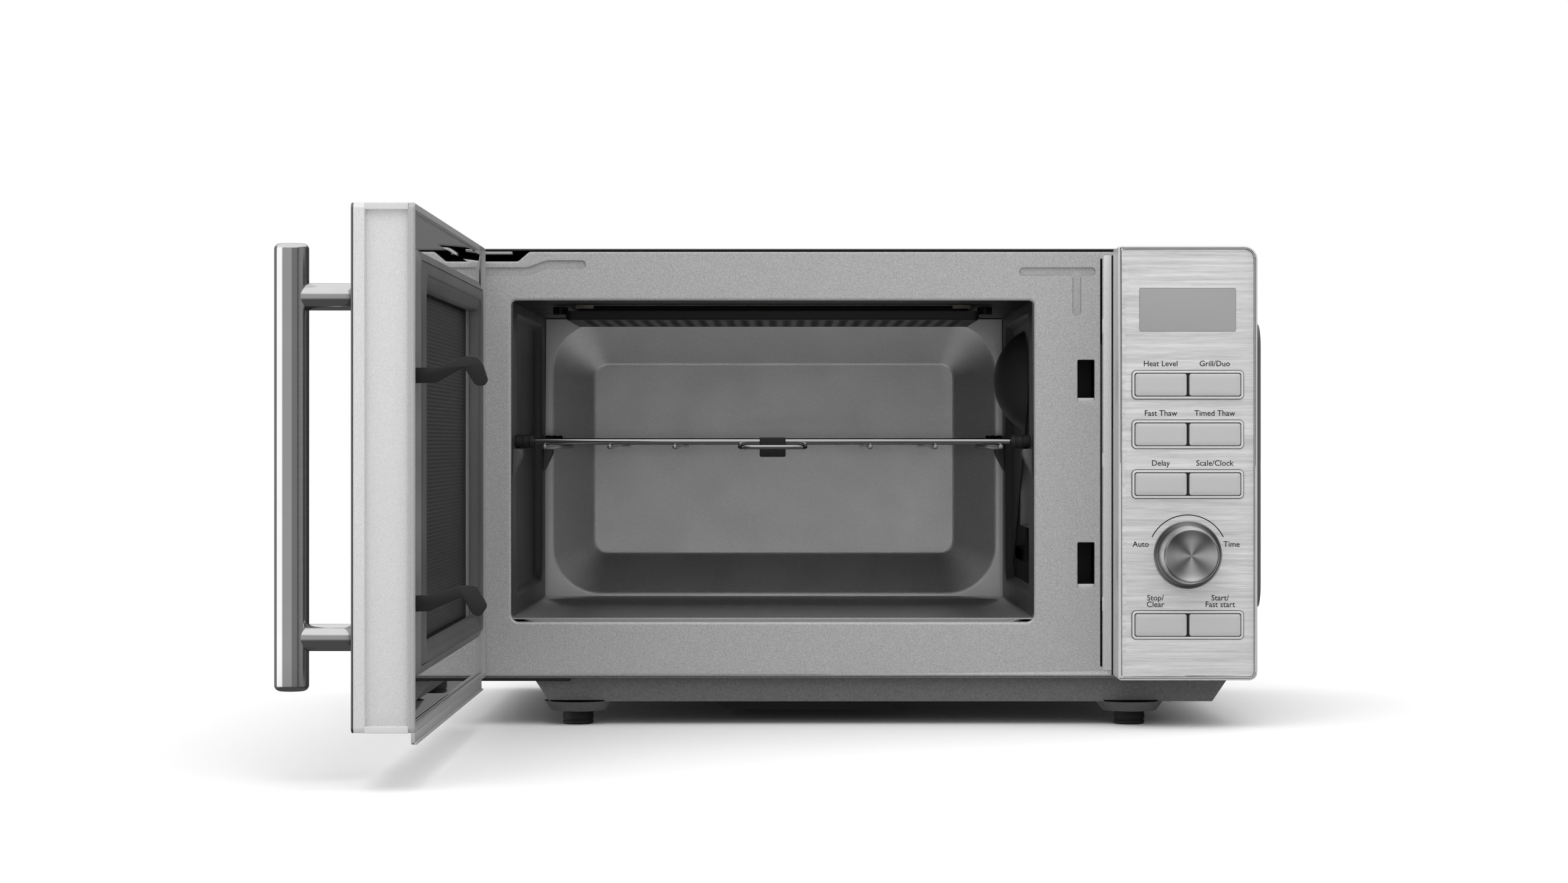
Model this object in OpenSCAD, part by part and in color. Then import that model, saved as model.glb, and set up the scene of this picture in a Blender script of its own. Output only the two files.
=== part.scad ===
// Microwave oven with a side-hinged door, drawn with the door standing open at a right angle.
// The origin is on the ground, at the middle of the case's footprint. +X is to the right,
// +Y runs from the control panel to the back, and +Z is up.

/* [Case] */
// Width of the case
body_w = 485; // [478:1:600]
// Depth from the control panel's face to the back
body_d = 360; // [356:1:460]
// Height of the case above its lower edge
case_h = 262; // [258:1:330]
// Height of the case's lower edge above the ground
case_lift = 30; // [28:1:40]
// Thickness of the steel sheets
sheet = 0.8; // [0.6:0.1:1.2]
// Gap between the case's wrap and the front frame inside it
seam = 0.4; // [0.2:0.1:0.8]
// Radius of the wrap's upper bends
case_bend = 6; // [3:0.5:10]
// How far the front frame stands behind the control panel's face
frame_setback = 33; // [33:0.5:40]
// Depth of the frame's folded rim
frame_rim = 10; // [5:1:20]
// Height of the panels pressed out of the wrap's sides
side_press = 10; // [4:1:12]
// Width of the wrap's flange around the back
back_flange = 12; // [8:1:20]
// Depth of the pan below the case's lower edge
pan_drop = 15.5; // [8:0.5:18]
// Width of the sloping ends of the pan
pan_slope = 10; // [4:1:20]

/* [Feet] */
// Diameter of a foot
foot_d = 19; // [14:0.5:26]
// Height of a foot
foot_h = 8.6; // [6:0.2:11]
// Distance of the feet from the case's middle, sideways
foot_x = 170; // [140:1:190]
// Distance of the front feet behind the panel's face, and of the rear feet from the back
foot_inset = 50; // [46:1:80]
// Diameter of the boss above a foot, at its lower end
boss_d = 33; // [26:1:40]

/* [Cavity] */
// Width of the cavity and of its opening
cavity_w = 320; // [300:1:322]
// Height of the opening
cavity_h = 196.6; // [180:0.2:200]
// Depth from the front frame to the back wall
cavity_d = 297; // [270:1:300]
// Distance from the case's left side to the cavity
cavity_side = 32.5; // [26:0.5:34]
// Height of the opening above the case's lower edge
cavity_lift = 33.6; // [30:0.2:38]
// Width of the plain strips at the front and back of the side walls
wall_strip = 40; // [30:1:60]
// Depth of the panels pressed out of the side walls
wall_press = 5; // [2:0.5:8]
// Depth of the panel pressed out of the back wall
back_press = 16; // [8:1:20]
// Height of the rack above the case's lower edge
rack_lift = 144; // [100:1:150]
// Travel of the rack
rack_travel = 250; // [150:5:260]

/* [Door] */
// Thickness of the door
door_t = 31.6; // [28:0.2:32]
// Gap between the door and the control panel
door_gap = 1; // [0.6:0.1:3]
// Angle at which the door is drawn
door_angle = 90; // [0:1:105]
// Distance of the hinge pins behind the door's face
pin_setback = 20; // [18:0.5:22]
// Distance of the hinge pins from the case's side
pin_inset = 5.8; // [5:0.2:9]
// Diameter of the hinge pins
pin_d = 6; // [4:0.5:7]
// Radial clearance of pins and shafts in their bores
running_gap = 0.07; // [0.02:0.01:0.1]
// Height of the lip under the door
lip_h = 5.6; // [3:0.2:5.8]
// Distance of the handle from the door's free edge
handle_inset = 41; // [36:1:60]
// Diameter of the handle
handle_d = 17.6; // [12:0.2:22]
// Length of the handle
handle_len = 226; // [180:1:240]
// Distance of the handle's centre line from the door's face
handle_stand = 35; // [25:1:45]
// Distance between the handle's posts
post_pitch = 172; // [120:1:190]
// Height of the lower latch hook above the case's lower edge
latch_low = 67.3; // [60:0.1:80]
// Height of the upper latch hook above the lower one
latch_pitch = 113.4; // [90:0.1:125]
// Travel of the latch hooks
latch_travel = 4; // [2:0.5:5]

/* [Controls] */
// Width of the control panel
panel_w = 84; // [84:1:92]
// Width of a button
button_w = 30.9; // [24:0.1:31.5]
// Height of a button
button_h = 13.3; // [10:0.1:16]
// Travel of a button
button_travel = 1.5; // [0.5:0.1:1.8]
// Diameter of the knob's base
knob_d = 36; // [30:0.5:38]
// Height of the knob
knob_h = 18.5; // [14:0.5:24]
// Width of the display window
display_w = 58; // [46:1:66]
// Height of the display window
display_h = 26; // [18:0.5:30]

/* [Hidden] */
$fn = 48;

// Finishes
steel = [0.66, 0.66, 0.66];
paint = [0.78, 0.78, 0.78];
brushed = [0.84, 0.84, 0.85];
dark_grey = [0.35, 0.35, 0.35];
black = [0.08, 0.08, 0.09];
chrome = [0.85, 0.86, 0.88];
copper = [0.72, 0.45, 0.25];
ceramic = [0.93, 0.91, 0.85];

// Case
x_right = body_w / 2;
x_left = -x_right;
y_front = -body_d / 2;
y_back = body_d / 2;
y_frame = y_front + frame_setback;
z_case = case_lift;
z_top = case_lift + case_h;
z_pan = z_case - pan_drop;
pan_floor = z_pan + sheet;
pan_x = [x_left + 45.5, x_right - 12.5];
pan_y = [y_frame + 6, y_back - 12];
inner_right = x_right - sheet;
inner_back = y_back - 2 * sheet;
feet_at = [for (x = [-foot_x, foot_x], y = [y_front + foot_inset, y_back - foot_inset]) [x, y]];
screw_d = 4;
overlap = 1;

// Cavity
cav_x = [x_left + cavity_side, x_left + cavity_side + cavity_w];
cav_z = [z_case + cavity_lift, z_case + cavity_lift + cavity_h];
cav_y = [y_frame + sheet, y_frame + cavity_d];
cav_mid = (cav_x[0] + cav_x[1]) / 2;
floor_z = cav_z[0] - 1.8;
floor_step = 4.2;
press_y = [cav_y[0] + wall_strip, cav_y[1] - 30];
press_z = [cav_z[0] + 14, cav_z[1] - 6];
wall_x = cav_x[1] + wall_press;
bay_x = wall_x + sheet;
horn_h = 17;
horn_out = 6.5;
rack_gap = 0.3;

// Grill over the cavity's ceiling
grill_x = [cav_x[0] + 29, cav_x[1] - 29.5];
grill_y = [y_frame + 67, y_frame + 198];
guard_z = cav_z[1] - 9.4;
guard_h = 5.7;
grill_well = 17;
tube_d = 10;

// Microwave feed on the cavity's right wall
feed_y = y_frame + 157;
feed_z = cav_z[1] - 46.2;
feed_r = 27;
dome_r = 33;
dome_h = 20;
guide_t = 30;
guide_low = 96;
guide_high = 31;
guide_half = 45;
antenna_drop = 64;
guide_x = bay_x + guide_t;
stirrer_shaft_d = 5;

// Cooling fan behind the feed
fan_x = (bay_x + inner_right) / 2;
fan_z = feed_z - antenna_drop;
fan_y = feed_y + 62;
fan_r = 50;
fan_tip_gap = 3;
duct_half = 58;
fan_shaft_d = 4;

// Door, laid out as if it were shut
door_x = [x_left, x_right - panel_w - door_gap];
door_z = [z_case, z_top];
pivot = [x_left + pin_inset, y_front + pin_setback];
skin = 1;
rim_w = 3.4;
flange_at = door_t - 3;
hinge_t = 1.9;
tongue_w = 15;
root_x = x_left + 4.5;
choke_x = [door_x[0] + 10.5, door_x[1] - 25.5];
choke_z = [z_case + 26, z_top - 21.6];
window_x = [choke_x[0] + 22, choke_x[1] - 39];
window_z = [z_case + 39.6, z_top - 40];
screen_at = 21;
glass_t = 3.2;
handle_x = door_x[1] - handle_inset;
handle_z = z_case + case_h / 2;
latch_x = door_x[1] - 15.5;
hook_z = [z_case + latch_low, z_case + latch_low + latch_pitch];
hook_t = 4;
pawl_at = [14, 22];
pawl_w = 7;
pawl_gap = 1.5;
pawl_z = [hook_z[0] - 27, hook_z[1] + 29];
spring_z = [pawl_z[1], pawl_z[1] + 16];
spring_d = 6;
// Outlines of the latch hooks: distance beyond the door's inner face, and height above the root
upper_hook = [[-10, 0], [9, 0], [24, 5.8], [32, 3], [35, -5], [30, -8.8], [23.4, 0], [21, 0],
              [10, -7], [-10, -7]];
lower_hook = [[-10, 0], [5, 0], [19.5, 5.3], [28, 5.1], [33.4, -4], [32.5, -7.5], [28, -10.2],
              [21.5, -1.2], [19.5, -1], [5, -7.5], [-10, -7.5]];

// Control panel
panel_x = [x_right - panel_w, x_right];
panel_mid = (panel_x[0] + panel_x[1]) / 2;
bezel_t = 1.8;
fascia_t = 1;
front_wall = 3;
knob_z = z_case + 75.7;
display_z = z_top - 38.6;
button_gap = 1.6;
button_play = 0.4;
surround_rim = 1.4;
button_rows = [z_top - 83.8, z_top - 113.7, z_top - 143.7, z_case + 33.4];
button_pitch = button_w + button_gap;
surround = [2 * button_w + button_gap + 2 * (button_play + surround_rim),
            button_h + 2 * (button_play + surround_rim)];
board_y = y_front + 12;
knob_shaft_d = 6;
ring_d = knob_d + 5;

// Rack
rack_x = [cav_x[0] + 1, cav_x[1] - 1];
rack_y = [y_front + 48, cav_y[1] - 14];
rack_z = z_case + rack_lift;
bar_d = 4;
wire_d = 3;
wire_count = 8;
wire_pitch = (rack_x[1] - rack_x[0] - 36.6) / (wire_count - 1);
cap_d = 8.5;
cap_len = 12;
loop_r = 8;

// Back plate
gland_x = fan_x + 20;
gland_z = z_case + 28;
gland_r = 6;
cord_r = 3.6;

function mid(span) = (span[0] + span[1]) / 2;
function depth(d) = y_front + d;

// Solid block between two opposite corners
module block(a, b) {
    translate(a) cube(b - a);
}

// Flat shape in X and Z, t thick along Y from y
module upright(y, t) {
    translate([0, y + t, 0]) rotate([90, 0, 0]) linear_extrude(t) children();
}

// Flat shape in Y and Z, t thick along X from x
module sideways(x, t) {
    translate([x, 0, 0]) rotate([90, 0, 90]) linear_extrude(t) children();
}

// Rectangle between two opposite corners, with round corners
module rounded(a, b, r) {
    translate([a.x + r, a.y]) square([b.x - a.x - 2 * r, b.y - a.y]);
    translate([a.x, a.y + r]) square([b.x - a.x, b.y - a.y - 2 * r]);
    for (x = [a.x + r, b.x - r], y = [a.y + r, b.y - r]) {
        translate([x, y]) circle(r);
    }
}

// Round bar along X or Y from point p
module bar_x(p, d, len) {
    translate(p) rotate([0, 90, 0]) cylinder(d = d, h = len);
}

module bar_y(p, d, len) {
    translate(p) rotate([-90, 0, 0]) cylinder(d = d, h = len);
}

// Slab whose top and foot differ, for panels pressed out of a sheet
module frustum(top, foot, h) {
    slab = 0.01;
    hull() {
        linear_extrude(slab, $fn = 32) rounded(-top / 2, top / 2, top.z);
        translate([0, 0, h - slab]) linear_extrude(slab, $fn = 32) rounded(-foot / 2, foot / 2, foot.z);
    }
}

// Outline of the case seen from the front, drawn in by inset
module case_outline(inset) {
    r = case_bend - inset;
    wide = body_w - 2 * inset;
    tall = case_h - inset;
    translate([x_left + inset, z_case]) square([wide, tall - r]);
    translate([x_left + inset + r, z_case]) square([wide - 2 * r, tall]);
    for (side = [-1, 1]) {
        translate([side * (x_right - inset - r), z_top - inset - r]) circle(r);
    }
}

// Slot with round ends, len long and w high, centred on p
module slot(p, len, w) {
    translate(p) square([len - w, w], center = true);
    for (side = [-1, 1]) {
        translate(p + [side * (len - w) / 2, 0]) circle(w / 2);
    }
}

// ---- Case ----

// Pan under the case, a shallow trough with sloping ends
module pan_shape(grow) {
    low = z_pan + grow;
    intersection() {
        upright(pan_y[0] + grow, pan_y[1] - pan_y[0] - 2 * grow)
            polygon([[pan_x[0] + grow, z_case + overlap], [pan_x[0] + grow, z_case - sheet],
                     [pan_x[0] + pan_slope + grow, low], [pan_x[1] - pan_slope - grow, low],
                     [pan_x[1] - grow, z_case - sheet], [pan_x[1] - grow, z_case + overlap]]);
        block([x_left, y_front, low], [x_right, y_back, z_case]);
    }
}

module base_pan() {
    boss_top = boss_d + 9;
    boss_h = z_pan - foot_h;
    color(dark_grey)
    difference() {
        union() {
            block([x_left, y_frame, z_case - sheet], [x_right, y_back, z_case]);
            pan_shape(0);
            for (p = feet_at) {
                translate([p.x, p.y, foot_h]) cylinder(d1 = boss_d, d2 = boss_top, h = boss_h);
            }
        }
        pan_shape(sheet);
        for (p = feet_at) {
            translate([p.x, p.y, foot_h + sheet])
                cylinder(d1 = boss_d - 2 * sheet, d2 = boss_top - 2 * sheet, h = boss_h);
            translate([p.x, p.y, 0]) cylinder(d = screw_d, h = z_case);
        }
    }
}

module base_cover() {
    cover_x = [x_left + 151.5, x_left + 276.5];
    cover_y = [y_front + 80, y_front + 230];
    cover_h = 8;
    slope = 12;
    color(black)
    upright(cover_y[0], cover_y[1] - cover_y[0])
        polygon([[cover_x[0], z_pan], [cover_x[0] + slope, z_pan - cover_h],
                 [cover_x[1] - slope, z_pan - cover_h], [cover_x[1], z_pan]]);
}

module fan_vents() {
    for (row = [-6:6], side = [-1, 1]) {
        slot([fan_x + side * 24, fan_z + row * 7.5], 38, 3.2);
    }
}

module rear_plate() {
    color(steel)
    difference() {
        upright(inner_back, sheet) case_outline(sheet + seam);
        upright(inner_back - overlap, sheet + 2 * overlap) fan_vents();
        upright(inner_back - overlap, sheet + 2 * overlap)
            for (row = [0:3], col = [0:5]) {
                slot([x_left + 50 + col * 26, z_top - 36 - row * 9], 18, 3.2);
            }
        bar_y([gland_x, inner_back - overlap, gland_z], 2 * gland_r, sheet + 2 * overlap);
    }
}

// Raised panel on one side of the wrap
module side_panel(side, top, foot, h) {
    translate([side * (x_right - sheet / 2), y_frame + 152, z_case + case_h / 2 - 2])
        rotate([0, side * 90, 0]) frustum(top, foot, h);
}

module outer_case() {
    top = [192, 270, 22];
    foot = [176, 254, 14];
    edge = [2 * sheet, 2 * sheet, sheet];
    color(dark_grey)
    difference() {
        union() {
            upright(y_frame, y_back - y_frame) case_outline(0);
            for (side = [-1, 1]) {
                side_panel(side, top, foot, side_press + sheet / 2);
            }
        }
        upright(y_frame - overlap, inner_back - y_frame + overlap + sheet) case_outline(sheet);
        for (side = [-1, 1]) {
            side_panel(side, top - edge, foot - edge, side_press - sheet / 2);
        }
        block([x_left + back_flange, inner_back, z_case - overlap],
              [x_right - back_flange, y_back + overlap, z_top - back_flange]);
        for (side = [-1, 1], row = [0:9]) {
            sideways(side * x_right - side_press - 2 * overlap, 2 * (side_press + 2 * overlap))
                slot([y_back - 70, z_case + 62 + row * 8], 34, 3.2);
        }
    }
}

module front_frame() {
    notch_x = [x_left + 4, x_left + 36];
    notch_h = 6;
    fold = sheet + seam;
    color(steel)
    difference() {
        union() {
            upright(y_frame, sheet) case_outline(fold);
            difference() {
                upright(y_frame, frame_rim) case_outline(fold);
                upright(y_frame - overlap, frame_rim + 2 * overlap) case_outline(fold + sheet);
            }
        }
        upright(y_frame - overlap, sheet + 2 * overlap)
            rounded([cav_x[0], cav_z[0]], [cav_x[1], cav_z[1]], 3);
        block([notch_x[0], y_frame - overlap, z_top - fold - notch_h],
              [notch_x[1], y_frame + frame_rim + overlap, z_top]);
        for (z = hook_z) {
            block([latch_x - 5.2, y_frame - overlap, z - 13],
                  [latch_x + 5.2, y_frame + sheet + overlap, z + 15]);
        }
        block([panel_x[0] + 12, y_frame - overlap, z_case + 30],
              [panel_x[1] - 12, y_frame + sheet + overlap, z_top - 20]);
    }
}

module case_screws() {
    head_d = 8;
    head_h = 2;
    color(steel) {
        for (side = [-1, 1], z = [z_case + 20, mid([z_case, z_top]), z_top - 20]) {
            bar_y([side * (x_right - back_flange / 2), y_back, z], head_d, head_h);
        }
        for (x = [-150, 0, 150]) {
            bar_y([x, y_back, z_top - back_flange / 2], head_d, head_h);
        }
        for (p = feet_at) {
            translate([p.x, p.y, foot_h - 5]) cylinder(d = screw_d, h = 5 + sheet + 3);
            translate([p.x, p.y, foot_h + sheet]) cylinder(d = head_d, h = 3);
        }
    }
}

module feet() {
    groove_z = 2.4;
    color(black)
    for (p = feet_at) {
        translate([p.x, p.y, 0])
        difference() {
            cylinder(d = foot_d, h = foot_h);
            translate([0, 0, groove_z])
            difference() {
                cylinder(d = foot_d + overlap, h = 0.8);
                translate([0, 0, -overlap]) cylinder(d = foot_d - 1.6, h = 0.8 + 2 * overlap);
            }
            translate([0, 0, foot_h - 5]) cylinder(d = screw_d, h = 5 + overlap);
        }
    }
}

module cord_gland() {
    color(black)
    difference() {
        union() {
            bar_y([gland_x, inner_back + sheet, gland_z], 2 * gland_r + 6, 3);
            bar_y([gland_x, inner_back - 4, gland_z], 2 * gland_r, 5 + sheet);
            bar_y([gland_x, inner_back + sheet + 3, gland_z], 2 * gland_r - 1, 9);
            bar_y([gland_x, inner_back - 4, gland_z], 2 * gland_r + 4, 4);
        }
        bar_y([gland_x, inner_back - 5, gland_z], 2 * cord_r, 25);
    }
}

// ---- Cavity ----

// Bump on a side wall that carries an end of the rack's bars
module horn(x, side, y) {
    top = rack_z - cap_d / 2 - rack_gap;
    upright(y - 7, 14)
        polygon([[x, top - horn_h], [x + side * horn_out, top - 3.5],
                 [x + side * horn_out, top], [x, top]]);
}

module cavity_walls() {
    low = cav_z[0] - 8;
    high = cav_z[1] + sheet;
    run = [cav_y[0], low];
    color(dark_grey)
    difference() {
        union() {
            block([cav_x[0] - sheet, cav_y[0], low], [cav_x[0], cav_y[1], high]);
            block([cav_x[1], cav_y[0], low], [cav_x[1] + sheet, cav_y[1], high]);
            block([cav_x[0] - sheet, cav_y[0], cav_z[1]], [cav_x[1] + sheet, cav_y[1], high]);
            block([cav_x[0] - wall_press - sheet, press_y[0] - sheet, press_z[0] - sheet],
                  [cav_x[0], press_y[1] + sheet, press_z[1] + sheet]);
            block([cav_x[1], press_y[0] - sheet, press_z[0] - sheet],
                  [bay_x, press_y[1] + sheet, press_z[1] + sheet]);
            block([grill_x[0] - sheet, grill_y[0] - sheet, cav_z[1]],
                  [grill_x[1] + sheet, grill_y[1] + sheet, cav_z[1] + grill_well + sheet]);
            for (y = rack_y) {
                horn(cav_x[0], 1, y);
                horn(cav_x[1], -1, y);
            }
        }
        block([cav_x[0] - wall_press, press_y[0], press_z[0]], [cav_x[0] + 0.01, press_y[1], press_z[1]]);
        block([cav_x[1] - 0.01, press_y[0], press_z[0]], [wall_x, press_y[1], press_z[1]]);
        block([grill_x[0], grill_y[0], cav_z[1] - overlap], [grill_x[1], grill_y[1], cav_z[1] + grill_well]);
        bar_x([wall_x - overlap, feed_y, feed_z], 2 * feed_r, sheet + 2 * overlap);
        for (row = [0:12]) {
            sideways(wall_x - overlap, sheet + 2 * overlap)
                slot([press_y[0] + 24, cav_z[1] - 12 - row * 5.3], 40, 2.6);
        }
    }
}

module cavity_back() {
    top = [cavity_w - 8, cavity_h - 6, 34];
    foot = [cavity_w - 70, cavity_h - 66, 9];
    edge = [2 * sheet, 2 * sheet, sheet];
    color(steel)
    difference() {
        union() {
            block([cav_x[0] - sheet, cav_y[1], cav_z[0] - 8],
                  [cav_x[1] + sheet, cav_y[1] + sheet, cav_z[1] + sheet]);
            translate([cav_mid, cav_y[1], mid(cav_z)]) rotate([-90, 0, 0])
                frustum(top, foot, back_press + sheet);
        }
        translate([cav_mid, cav_y[1] - 0.01, mid(cav_z)]) rotate([-90, 0, 0])
            frustum(top - edge, foot - edge, back_press);
    }
}

module cavity_floor() {
    slope = 16.5;
    step_y = cav_y[1] - 42;
    flat_x = [cav_x[0] + slope, cav_x[1] - slope];
    high = floor_z + floor_step;
    color(dark_grey) {
        upright(cav_y[0], step_y - cav_y[0])
            polygon([[cav_x[0], high], [flat_x[0], floor_z], [flat_x[1], floor_z], [cav_x[1], high],
                     [cav_x[1], high - sheet], [flat_x[1], floor_z - sheet],
                     [flat_x[0], floor_z - sheet], [cav_x[0], high - sheet]]);
        block([cav_x[0], step_y, floor_z - sheet], [cav_x[1], step_y + sheet, high]);
        block([cav_x[0], step_y, high - sheet], [cav_x[1], cav_y[1], high]);
    }
}

module grill_heater() {
    end_len = 12;
    tube_z = cav_z[1] + grill_well / 2;
    for (y = [grill_y[0] + 34, grill_y[1] - 34]) {
        color(ceramic) {
            bar_x([grill_x[0] + end_len, y, tube_z], tube_d, grill_x[1] - grill_x[0] - 2 * end_len);
            bar_x([grill_x[0], y, tube_z], tube_d + 4, end_len);
            bar_x([grill_x[1] - end_len, y, tube_z], tube_d + 4, end_len);
        }
    }
}

module grill_guard() {
    wall = 1;
    color(black)
    difference() {
        union() {
            block([grill_x[0], grill_y[0], guard_z], [grill_x[1], grill_y[1], guard_z + guard_h]);
            for (x = [grill_x[0] - 8, grill_x[1] - 4], y = [grill_y[0] + 10, grill_y[1] - 20]) {
                block([x, y, guard_z + guard_h - wall], [x + 12, y + 10, cav_z[1]]);
            }
        }
        block([grill_x[0] + wall, grill_y[0] + wall, guard_z + wall],
              [grill_x[1] - wall, grill_y[1] - wall, cav_z[1] + overlap]);
        for (row = [0:8], x = [mid(grill_x) - 64, mid(grill_x) + 64]) {
            translate([0, 0, guard_z - overlap]) linear_extrude(wall + 2 * overlap)
                slot([x, mid(grill_y) + (row - 4) * 12], 112, 6);
        }
    }
}

module stirrer_cover() {
    ball = (dome_r * dome_r + dome_h * dome_h) / (2 * dome_h);
    wall = 1.5;
    color(dark_grey)
    translate([wall_x, feed_y, feed_z]) rotate([0, -90, 0])
    difference() {
        intersection() {
            translate([0, 0, dome_h - ball]) sphere(ball, $fn = 96);
            cylinder(r = dome_r + 1, h = dome_h + 1);
        }
        intersection() {
            translate([0, 0, dome_h - ball]) sphere(ball - wall, $fn = 96);
            translate([0, 0, -overlap]) cylinder(r = dome_r + 1, h = dome_h + 1 + overlap);
        }
    }
}

module stirrer() {
    blade_x = wall_x - 9;
    color(steel) {
        bar_x([blade_x, feed_y, feed_z], stirrer_shaft_d, guide_x + 5 - blade_x);
        bar_x([blade_x - 1.5, feed_y, feed_z], 12, 3);
        for (turn = [0:120:240]) {
            translate([blade_x, feed_y, feed_z]) rotate([turn, 0, 0])
                block([-0.5, -6, 0], [0.5, 6, 20]);
        }
    }
}

module waveguide() {
    y = [feed_y - guide_half, feed_y + guide_half];
    z = [feed_z - guide_low, feed_z + guide_high];
    color(steel)
    difference() {
        block([bay_x, y[0], z[0]], [guide_x, y[1], z[1]]);
        block([bay_x - overlap, y[0] + sheet, z[0] + sheet], [guide_x - sheet, y[1] - sheet, z[1] - sheet]);
        bar_x([guide_x - 2 * overlap, feed_y, feed_z], 12, 3 * overlap);
        bar_x([guide_x - 2 * overlap, feed_y, feed_z - antenna_drop], 24, 3 * overlap);
    }
}

module magnetron() {
    z = feed_z - antenna_drop;
    yoke = [42, 80, 64];
    wall = 2;
    filter_l = 24;
    color(steel)
    translate([guide_x, feed_y, z]) {
        difference() {
            block([0, -yoke.y / 2, -yoke.z / 2], [yoke.x, yoke.y / 2, yoke.z / 2]);
            block([wall, -yoke.y / 2 - overlap, wall - yoke.z / 2],
                  [yoke.x - wall, yoke.y / 2 + overlap, yoke.z / 2 - wall]);
        }
        bar_x([wall, 0, 0], 40, yoke.x - 2 * wall);
        for (fin = [1:6]) {
            block([wall + fin * 5.4, 2 - yoke.y / 2, wall - yoke.z / 2],
                  [wall + fin * 5.4 + 0.8, yoke.y / 2 - 2, yoke.z / 2 - wall]);
        }
        bar_x([-18, 0, 0], 14, 20);
        block([yoke.x, -28, -22], [yoke.x + filter_l, 28, 22]);
    }
}

module stirrer_motor() {
    can_d = 46;
    color(steel)
    difference() {
        union() {
            bar_x([guide_x, feed_y, feed_z], can_d, 16);
            block([guide_x, feed_y - 30, feed_z - 5], [guide_x + 1.2, feed_y + 30, feed_z + 5]);
        }
        bar_x([guide_x - overlap, feed_y, feed_z], stirrer_shaft_d + 2 * running_gap, 8);
    }
}

// ---- Components beside the cavity ----

module fan_duct() {
    opening = fan_r + fan_tip_gap;
    post = 8;
    color(black) {
        difference() {
            union() {
                block([fan_x - duct_half, fan_y, fan_z - duct_half],
                      [fan_x + duct_half, fan_y + 2, fan_z + duct_half]);
                bar_y([fan_x, fan_y, fan_z], 2 * opening + 3, 28);
            }
            bar_y([fan_x, fan_y - overlap, fan_z], 2 * opening, 28 + 2 * overlap);
        }
        for (x = [fan_x - duct_half, fan_x + duct_half - post], z = [-duct_half, duct_half - post]) {
            block([x, fan_y + 2, fan_z + z], [x + post, inner_back, fan_z + z + post]);
        }
    }
}

module fan_motor() {
    post = 8;
    y = fan_y + 34;
    color(steel)
    difference() {
        union() {
            block([fan_x - 26, y, fan_z - 26], [fan_x + 26, y + 20, fan_z + 26]);
            for (z = [-duct_half + 1, duct_half - 7]) {
                block([fan_x - duct_half + post, y + 20, fan_z + z],
                      [fan_x + duct_half - post, y + 21.5, fan_z + z + 6]);
            }
            block([fan_x - 8, y + 20, fan_z - duct_half + 1], [fan_x + 8, y + 21.5, fan_z + duct_half - 1]);
            bar_y([fan_x, y - 20, fan_z], fan_shaft_d, 22);
        }
        for (z = [-19, 13]) {
            block([fan_x - 18, y - overlap, fan_z + z], [fan_x + 18, y + 20, fan_z + z + 6]);
        }
    }
}

module fan_blade() {
    color(ceramic)
    translate([fan_x, fan_y + 6, fan_z])
    difference() {
        union() {
            bar_y([0, 0, 0], 26, 20);
            for (turn = [0:72:288]) {
                rotate([0, turn, 0]) translate([0, 10, 8]) rotate([0, 0, 32])
                    block([-13, -0.8, 0], [13, 0.8, fan_r - 11]);
            }
        }
        bar_y([0, 6, 0], fan_shaft_d + 2 * running_gap, 20);
    }
}

module transformer() {
    x = mid([bay_x, inner_right]);
    y = y_frame + 92;
    core = [80, 66, 72];
    foot_t = 1.5;
    color(steel) {
        block([x - core.x / 2, y - 46, pan_floor], [x + core.x / 2, y + 46, pan_floor + foot_t]);
        block([x - core.x / 2, y - core.y / 2, pan_floor + foot_t],
              [x + core.x / 2, y + core.y / 2, pan_floor + foot_t + core.z]);
    }
    color(copper)
    block([x - 27, y - core.y / 2 - 12, pan_floor + 16], [x + 27, y + core.y / 2 + 12, pan_floor + 58]);
}

module capacitor() {
    can_d = 46;
    x = bay_x + 40;
    y = [fan_y - 64, fan_y + 20];
    z = pan_floor + 3 + can_d / 2;
    color(steel) {
        bar_y([x, y[0], z], can_d, y[1] - y[0]);
        block([x - 20, mid(y) - 10, pan_floor], [x + 20, mid(y) + 10, z]);
        for (side = [-8, 8]) {
            block([x + side - 3, y[0] - 9, z - 0.4], [x + side + 3, y[0], z + 0.4]);
        }
    }
}

module diode() {
    x = bay_x + 88;
    y = fan_y - 36;
    color(black) {
        block([x - 6, y - 12, pan_floor], [x + 6, y + 12, pan_floor + 1]);
        bar_y([x, y - 10, pan_floor + 4.5], 7, 20);
    }
}

module cavity_lamp() {
    y = press_y[0] + 24;
    z = cav_z[1] - 38;
    color(ceramic) {
        block([bay_x + 8, y - 13, z - 12], [bay_x + 26, y + 13, z + 12]);
        block([bay_x, y - 13, z - 14], [bay_x + 12, y - 10, z + 14]);
        block([bay_x, y + 10, z - 14], [bay_x + 12, y + 13, z + 14]);
        bar_x([bay_x + 3, y, z], 12, 6);
    }
}

module thermal_cutouts() {
    top = feed_z - antenna_drop + 32;
    color(black) {
        translate([guide_x + 30, feed_y, top]) cylinder(d = 16, h = 6);
        translate([cav_mid - 40, grill_y[1] + 30, cav_z[1] + sheet]) cylinder(d = 16, h = 7);
    }
}

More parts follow.
